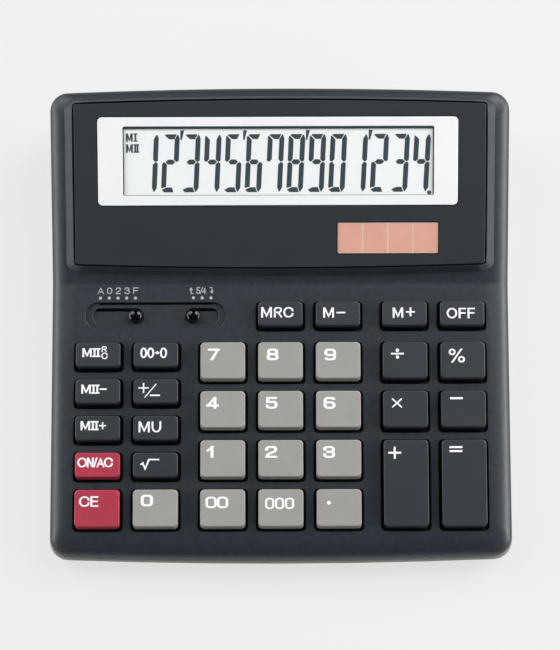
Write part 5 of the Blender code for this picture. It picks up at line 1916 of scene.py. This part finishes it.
@dataclass
class KeyPad:
    """All the keys: hollow caps with a retaining rim, and their printed signs."""

    width: float = 15.0 * MM
    height: float = 2.4 * MM
    corner: float = 1.5 * MM
    edge: float = 0.34 * MM
    side_flare: float = 0.2 * MM
    rear_flare: float = 0.05 * MM
    front_flare: float = 1.05 * MM
    draw_in: float = 0.28 * MM
    top_draw: float = 0.17 * MM
    front_draw: float = 0.05 * MM
    hole_edge: float = 0.07 * MM
    play: float = 0.52 * MM
    front_play: float = 0.72 * MM
    rear_play: float = 0.12 * MM
    rim_front: float = 0.95 * MM
    rim_rear: float = 1.05 * MM
    rim_side: float = 0.6 * MM
    rim_top: float = -2.3 * MM
    rim_low: float = -3.1 * MM
    wall: float = 1.2 * MM
    post: float = 1.5 * MM
    flat_border: float = 0.25 * MM
    corner_share: float = 1.1
    small: float = 8.0 * MM
    tall: float = 28.2 * MM
    number: float = 12.05 * MM
    row: float = 16.15 * MM
    small_row: float = 12.1 * MM
    rear_row: float = -6.4 * MM
    rear_block: float = -19.9 * MM
    columns: tuple = (-60.3 * MM, -41.2 * MM, -19.1 * MM, 0.0, 19.1 * MM, 41.2 * MM, 60.3 * MM)

    def keys(self) -> list[Key]:
        """Every key with its place.

        Returns:
            The keys, column by column.
        """
        dark, light, red = Shade.DARK, Shade.LIGHT, Shade.RED
        small, number, tall = self.small, self.number, self.tall
        columns = (
            (3, small, self.rear_row, ("memory_recall",), dark),
            (4, small, self.rear_row, ("memory_minus",), dark),
            (5, small, self.rear_row, ("memory_plus",), dark),
            (6, small, self.rear_row, ("off",), dark),
            (0, small, self.rear_block, ("memory_two_recall", "memory_two_minus", "memory_two_plus"), dark),
            (0, small, self.rear_block - 3 * self.small_row, ("on_all_clear",), red),
            (0, number, self.rear_block - 3 * self.row, ("clear_entry",), red),
            (1, small, self.rear_block, ("backspace", "sign_change", "mark_up", "square_root"), dark),
            (1, number, self.rear_block - 3 * self.row, ("zero",), light),
            (2, number, self.rear_block, ("seven", "four", "one", "double_zero"), light),
            (3, number, self.rear_block, ("eight", "five", "two", "triple_zero"), light),
            (4, number, self.rear_block, ("nine", "six", "three", "decimal_point"), light),
            (5, number, self.rear_block, ("divide", "multiply"), dark),
            (5, tall, self.rear_block - 2 * self.row, ("add",), dark),
            (6, number, self.rear_block, ("percent", "subtract"), dark),
            (6, tall, self.rear_block - 2 * self.row, ("equals",), dark),
        )
        found = []
        for column, depth, rear, names, shade in columns:
            pitch = self.small_row if depth == small else self.row
            for number_in_column, name in enumerate(names):
                v = rear - number_in_column * pitch - depth / 2
                found.append(Key(name, self.columns[column], v, depth, shade, LEGENDS[name]))
        return found

    def foot(
        self, depth: float, height: float, front: float = 0.0, side: float = 0.0, rear: float = 0.0
    ) -> Section:
        """Where a key's skirt passes the deck, or with more room round it.

        Args:
            depth: depth of the key's top.
            height: height of the section.
            front: room in front.
            side: room on each side.
            rear: room behind.
        Returns:
            The section.
        """
        half = self.width / 2 + self.side_flare + side
        low = -depth / 2 - self.front_flare - front
        return Section(-half, half, low, depth / 2 + self.rear_flare + rear, height)

    def openings(self) -> list[bpy.types.Object]:
        """Cutters for the holes in the deck.

        Returns:
            One cutter for each key, in place.
        """
        tools, first = [], {}
        for key in self.keys():
            if key.depth not in first:
                deep = -DECK_THICKNESS - OVERRUN
                low = self.foot(key.depth, deep, self.front_play, self.play, self.rear_play)
                wide = self.hole_edge
                rings = [low, low.drawn_in(0, -wide), low.drawn_in(-2 * wide, wide)]
                first[key.depth] = moulding("key_opening", rings, self.corner, 5)
            tool = copied(first[key.depth], "key_opening")
            tools.append(place(tool, Top.DECK.matrix @ Matrix.Translation((key.x, key.v, 0))))
        for tool in first.values():
            bpy.data.objects.remove(tool)
        return tools

    def cap(self, depth: float) -> bpy.types.Object:
        """A key cap of this depth, in the middle of the deck's plane.

        Args:
            depth: depth of its top from front to rear.
        Returns:
            The cap.
        """
        rim = self.foot(depth, self.rim_low, self.rim_front, self.rim_side, self.rim_rear)
        foot = self.foot(depth, self.rim_top)
        half = self.width / 2 - self.top_draw
        shoulder = Section(-half, half, -depth / 2, depth / 2, self.height - self.edge)
        skirt = Section(
            foot.left + self.draw_in, foot.right - self.draw_in, foot.front + self.front_draw,
            foot.rear, foot.height,
        )
        rings = [rim, rim.drawn_in(0, self.rim_top), skirt, skirt.drawn_in(0, 0), shoulder]
        rings += rounded_top(shoulder, self.height, self.edge, 5)
        rings.append(shoulder.drawn_in(self.edge + self.flat_border, self.height))
        cap = moulding("cap", rings, self.corner * self.corner_share, 7)
        ceiling = self.height - self.wall
        inner = shoulder.drawn_in(self.wall, self.rim_low)
        post = Section(-self.post, self.post, -self.post, self.post, ceiling)
        with editing(cap):
            pick(cap, "faces", lambda f: f.normal.z < -0.9
                 and abs(f.calc_center_median().z - self.rim_low) < HIDDEN)
            grow([rim, inner, inner.drawn_in(0, ceiling), post, post.drawn_in(0, self.rim_low)])
            face_outward(cap)
        smooth(cap, 35)
        return cap

    def build(self) -> None:
        """Makes every cap and its signs."""
        first = {depth: self.cap(depth) for depth in (self.small, self.number, self.tall)}
        lettering = Lettering()
        for key in self.keys():
            body = "key_" + key.name
            spot = Matrix.Translation((key.x, key.v, 0))
            cap = place(copied(first[key.depth], "cap_" + key.name), Top.DECK.matrix @ spot)
            register(cap, key.shade.finish, Slot(key.shade.value), body, [body])
            name = "print_" + key.name
            ink = lettering.print_on(name, key.marks, Top.DECK, key.x, key.v, self.height)
            register(ink, WHITE_INK, Slot.WHITE, body)
        for cap in first.values():
            bpy.data.objects.remove(cap)


# Switches


@dataclass
class Switches:
    """The two slide switches, their recess in the deck and the signs behind them."""

    v: float = -10.78 * MM
    carriage_v: float = -11.1 * MM
    recess_left: float = -60.5 * MM
    recess_right: float = -22.58 * MM
    recess_radius: float = 4.68 * MM
    recess_depth: float = 0.85 * MM
    slope: float = 0.06 * MM
    lip: float = 0.24 * MM
    groove: tuple = (-7.0 * MM, -6.4 * MM, -3.0 * MM)
    decimal: tuple = (-59.95 * MM, -48.27 * MM)
    rounding: tuple = (-28.97 * MM, -23.13 * MM)
    slot_radius: float = 2.8 * MM
    slot_floor: float = -1.6 * MM
    slit_v: float = -8.72 * MM
    slit_width: float = 0.84 * MM
    slit_low: float = -3.0 * MM
    slit_top: float = -1.1 * MM
    stem_width: float = 2.4 * MM
    knob_radius: float = 2.2 * MM
    knob_edge: float = 0.1 * MM
    knob_steps: int = 12
    collar: float = 1.95 * MM
    dome: float = 1.0 * MM
    tab: float = 0.4 * MM
    carriage_depth: float = 3.2 * MM
    carriage_top: float = -2.3 * MM
    carriage_low: float = -3.2 * MM
    wiper_low: float = -6.3 * MM
    stop_pitch: float = 2.92 * MM
    dot: float = 1.0 * MM
    dot_low: float = -5.3 * MM
    sign_low: float = -3.45 * MM
    sign_height: float = 2.2 * MM
    spans: tuple = (
        ("decimal_switch", -48.27 * MM, -60.22 * MM, -37.08 * MM),
        ("rounding_switch", -28.97 * MM, -36.31 * MM, -21.38 * MM),
    )

    def hollow(
        self, left: float, right: float, radius: float, surface: float, floor: float
    ) -> bpy.types.Object:
        """A cutter for a long round-ended hollow with a steep wall and a rounded lip.

        Args:
            left: centre of its left end.
            right: centre of its right end.
            radius: its half width at the surface.
            surface: height of the surface that it is sunk into.
            floor: height of its floor.
        Returns:
            The cutter, in place.
        """
        neck = radius - self.lip
        sections = [obround(left, right, self.v, neck - self.slope, floor)]
        for step in range(5):
            turn = math.radians(20 * step)
            rise = surface - self.lip * (1 - math.sin(turn))
            sections.append(obround(left, right, self.v, radius - self.lip * math.cos(turn), rise))
        sections.append(obround(left, right, self.v, radius, surface + OVERRUN))
        tool = moulding("hollow", sections, sections[0].size[1] / 2, 14)
        return place(tool, Top.DECK.matrix)

    def openings(self) -> list[list[bpy.types.Object]]:
        """Cutters for the recess, then the slots and a shadow groove, then the slits.

        Returns:
            The cutters in three batches, one after the other.
        """
        low = -self.recess_depth
        recess = self.hollow(self.recess_left, self.recess_right, self.recess_radius, 0, low)
        batches = [[recess], [], []]
        front, rear, bottom = self.groove
        groove = Section(self.recess_left, self.recess_right, front, rear, bottom)
        tool = moulding("groove", [groove, groove.drawn_in(0, low + self.lip)], 0)
        batches[1].append(place(tool, Top.DECK.matrix))
        for first, last in (self.decimal, self.rounding):
            batches[1].append(self.hollow(first, last, self.slot_radius, low, self.slot_floor))
            reach = self.stem_width / 2 + CLEAR
            half = self.slit_width / 2
            slit = Section(
                first - reach, last + reach, self.slit_v - half, self.slit_v + half, self.slit_low
            )
            tool = moulding("slit", [slit, slit.drawn_in(0, self.slit_top)], 0)
            batches[2].append(place(tool, Top.DECK.matrix))
        return batches

    def knob(self, name: str, x: float, low: float, high: float) -> bpy.types.Object:
        """One switch: the domed knob, its stem, and the carriage that covers the slit.

        Args:
            name: the body it rides on.
            x: its place at rest.
            low: left end of the carriage.
            high: right end of the carriage.
        Returns:
            The switch.
        """
        base = self.slot_floor + CLEAR
        radius, edge = self.knob_radius, self.knob_edge
        profile = [(radius - edge, base), (radius, base + edge), (radius, base + self.collar)]
        for step in range(1, self.knob_steps):
            turn = math.radians(90 * step / self.knob_steps)
            height = base + self.collar + self.dome * math.sin(turn)
            profile.append((radius * math.cos(turn), height))
        knob = place(turned(name + "_knob", profile, 40), Matrix.Translation((x, self.v, 0)))
        half = self.slit_width / 2 - CLEAR
        stem = Section(
            x - self.stem_width / 2, x + self.stem_width / 2, self.slit_v - half, self.slit_v + half,
            self.carriage_low,
        )
        plate = Section(
            low, high, self.carriage_v - self.carriage_depth, self.carriage_v + self.carriage_depth,
            self.carriage_low,
        )
        leg = Section(x - MM, x + MM, self.carriage_v - MM, self.carriage_v + MM, self.wiper_low)
        parts = (
            (stem, base + self.tab),
            (plate, self.carriage_top),
            (leg, self.carriage_top - CLEAR),
        )
        for section, top in parts:
            fuse(knob, [moulding("part", [section, section.drawn_in(0, top)], 0)])
        smooth(place(knob, Top.DECK.matrix), 40)
        return knob

    def signs(self) -> list[Mark]:
        """The dots at each stop and the signs behind them.

        Returns:
            The marks.
        """
        found = []
        stops = [self.decimal[0] + i * self.stop_pitch for i in range(5)]
        stops += [self.rounding[0] + i * self.stop_pitch for i in range(3)]
        dot = self.dot
        for x in stops:
            found.append(Mark(".", x - dot / 2, self.dot_low, dot, dot, Pen(dot, dot), True))
        signs = (
            ("A", 0, -1.0, 2.2), ("0", 1, -0.775, 1.75), ("2", 2, -0.775, 1.75),
            ("3", 3, -0.775, 1.75), ("F", 4, -0.775, 1.75), ("up", 5, -1.35, 1.35),
            ("down", 7, -0.4, 1.3), ("5", 6, -1.95, 1.25), ("/", 6, -0.8, 1.05), ("4", 6, -0.1, 1.4),
        )
        for sign, stop, left, width in signs:
            box = (stops[stop] + left * MM, self.sign_low, width * MM, self.sign_height)
            found.append(Mark(sign, *box, HAIR))
        return found

    def build(self) -> None:
        """Makes both switches and their signs."""
        for name, x, low, high in self.spans:
            register(self.knob(name, x, low, high), KNOB_ABS, Slot.KNOB, name, [name])
        ink = Lettering().print_on("switch_signs", self.signs(), Top.DECK)
        register(ink, PALE_INK, Slot.WHITE, "case")


# Inside


class Electronics:
    """What lies inside the case, in its CAD shapes."""

    finishes = {
        "keypad_mat": KEY_SILICONE,
        "circuit_board": BOARD_RESIST,
        "processor_chip": CHIP_EPOXY,
        "capacitor": CAPACITOR_SLEEVE,
        "display_ribbon": RIBBON_FILM,
        "display_holder": WHITE_FRAME,
        "solar_lead_plus": WIRE_RED,
        "solar_lead_minus": WIRE_BLACK,
    }

    def build(self) -> None:
        """Dresses every inner node."""
        for name, finish in self.finishes.items():
            dress_node(name, finish)


# Studio


@dataclass
class Studio:
    """Pale floor, soft lamps and the camera."""

    distance: float = 0.520
    elevation: float = math.radians(80.24)
    target: tuple = (0.0, 0.0, 0.019)
    lens: float = 86.57
    roll: float = math.radians(-0.16)
    shift: tuple = (-0.0006, 0.0014)
    sensor: float = 36.0
    clip: float = 0.01
    floor_size: float = 6.0
    background: str = "#ececec"
    sky: float = 0.03
    horizon: tuple = (0.16, 0.26)
    lamps: tuple = (
        ("rear_right_lamp", (0.82, 0.75, 1.1), (0.7, 1.2), 16.8),
        ("rear_left_lamp", (-0.82, 0.75, 1.1), (0.7, 1.2), 11.0),
        ("right_lamp", (0.75, 0.0, 0.26), (0.8, 0.3), 6.4),
        ("left_lamp", (-0.75, 0.0, 0.26), (0.8, 0.3), 4.6),
    )

    def camera(self) -> None:
        """The camera at the photograph's angle."""
        direction = Vector((0, -math.cos(self.elevation), math.sin(self.elevation)))
        spot = Vector(self.target) + direction * self.distance
        data = bpy.data.cameras.new("camera")
        data.lens = self.lens
        data.sensor_fit = "VERTICAL"
        data.sensor_height = self.sensor
        data.shift_x, data.shift_y = self.shift
        data.clip_start = self.clip
        camera = bpy.data.objects.new("camera", data)
        turn = (-direction).to_track_quat("-Z", "Y").to_matrix().to_4x4()
        camera.matrix_world = Matrix.Translation(spot) @ turn @ Matrix.Rotation(self.roll, 4, "Z")
        bpy.context.scene.collection.objects.link(camera)
        bpy.context.scene.camera = camera

    def lamp(self, name: str, spot: tuple, size: tuple, power: float) -> None:
        """A soft rectangular lamp aimed at the middle of the case.

        Args:
            name: its name.
            spot: where it hangs.
            size: its width and height.
            power: in watts.
        """
        data = bpy.data.lights.new(name, "AREA")
        data.shape = "RECTANGLE"
        data.size, data.size_y = size
        data.energy = power
        lamp = bpy.data.objects.new(name, data)
        aim = Vector(self.target) - Vector(spot)
        turn = aim.to_track_quat("-Z", "Y").to_matrix().to_4x4()
        lamp.matrix_world = Matrix.Translation(spot) @ turn
        bpy.context.scene.collection.objects.link(lamp)

    def world(self) -> None:
        """A dim ceiling over a pale backdrop that camera, gloss and glass see all round."""
        world = bpy.data.worlds.new("studio")
        bpy.context.scene.world = world
        world.use_nodes = True
        tree = world.node_tree
        tree.nodes.clear()
        way = add_node(tree, "ShaderNodeTexCoord").outputs["Generated"]
        parts = add_node(tree, "ShaderNodeSeparateXYZ", links={"Vector": way})
        wall = add_node(
            tree,
            "ShaderNodeMapRange",
            {"From Min": self.horizon[0], "From Max": self.horizon[1], "To Min": 1.0, "To Max": 0.0},
            {"Value": parts.outputs["Z"]},
            interpolation_type="SMOOTHSTEP",
        )
        share = add_node(tree, "ShaderNodeMath", operation="MULTIPLY")
        tree.links.new(looked_at(tree), share.inputs[0])
        tree.links.new(wall.outputs["Result"], share.inputs[1])
        shown = add_node(
            tree, "ShaderNodeBackground", {"Color": linear(self.background), "Strength": 1.0}
        )
        lit = add_node(tree, "ShaderNodeBackground", {"Color": (1, 1, 1, 1), "Strength": self.sky})
        mix = add_node(tree, "ShaderNodeMixShader", links={"Fac": share.outputs["Value"]})
        tree.links.new(lit.outputs["Background"], mix.inputs[1])
        tree.links.new(shown.outputs["Background"], mix.inputs[2])
        add_node(tree, "ShaderNodeOutputWorld", links={"Surface": mix.outputs["Shader"]})

    def floor(self) -> None:
        """A wide pale sheet under the case."""
        bpy.ops.object.select_all(action="DESELECT")
        bpy.ops.mesh.primitive_plane_add(size=self.floor_size, location=(0, 0, -HIDDEN))
        floor = named("floor")
        floor.data.materials.append(FLOOR_CARD.material())

    def build(self) -> None:
        """Sets up the whole studio."""
        view = bpy.context.scene.view_settings
        view.view_transform = "Standard"
        self.camera()
        self.world()
        self.floor()
        for name, spot, size, power in self.lamps:
            self.lamp(name, spot, size, power)
        LOG.info("studio ready")


def main() -> None:
    """Builds every sub-assembly in order."""
    Studio().build()
    keys, switches = KeyPad(), Switches()
    UpperCase().build(keys, switches)
    LowerCase().build()
    DisplayUnit().build()
    keys.build()
    switches.build()
    Electronics().build()


if __name__ == "__main__":
    main()
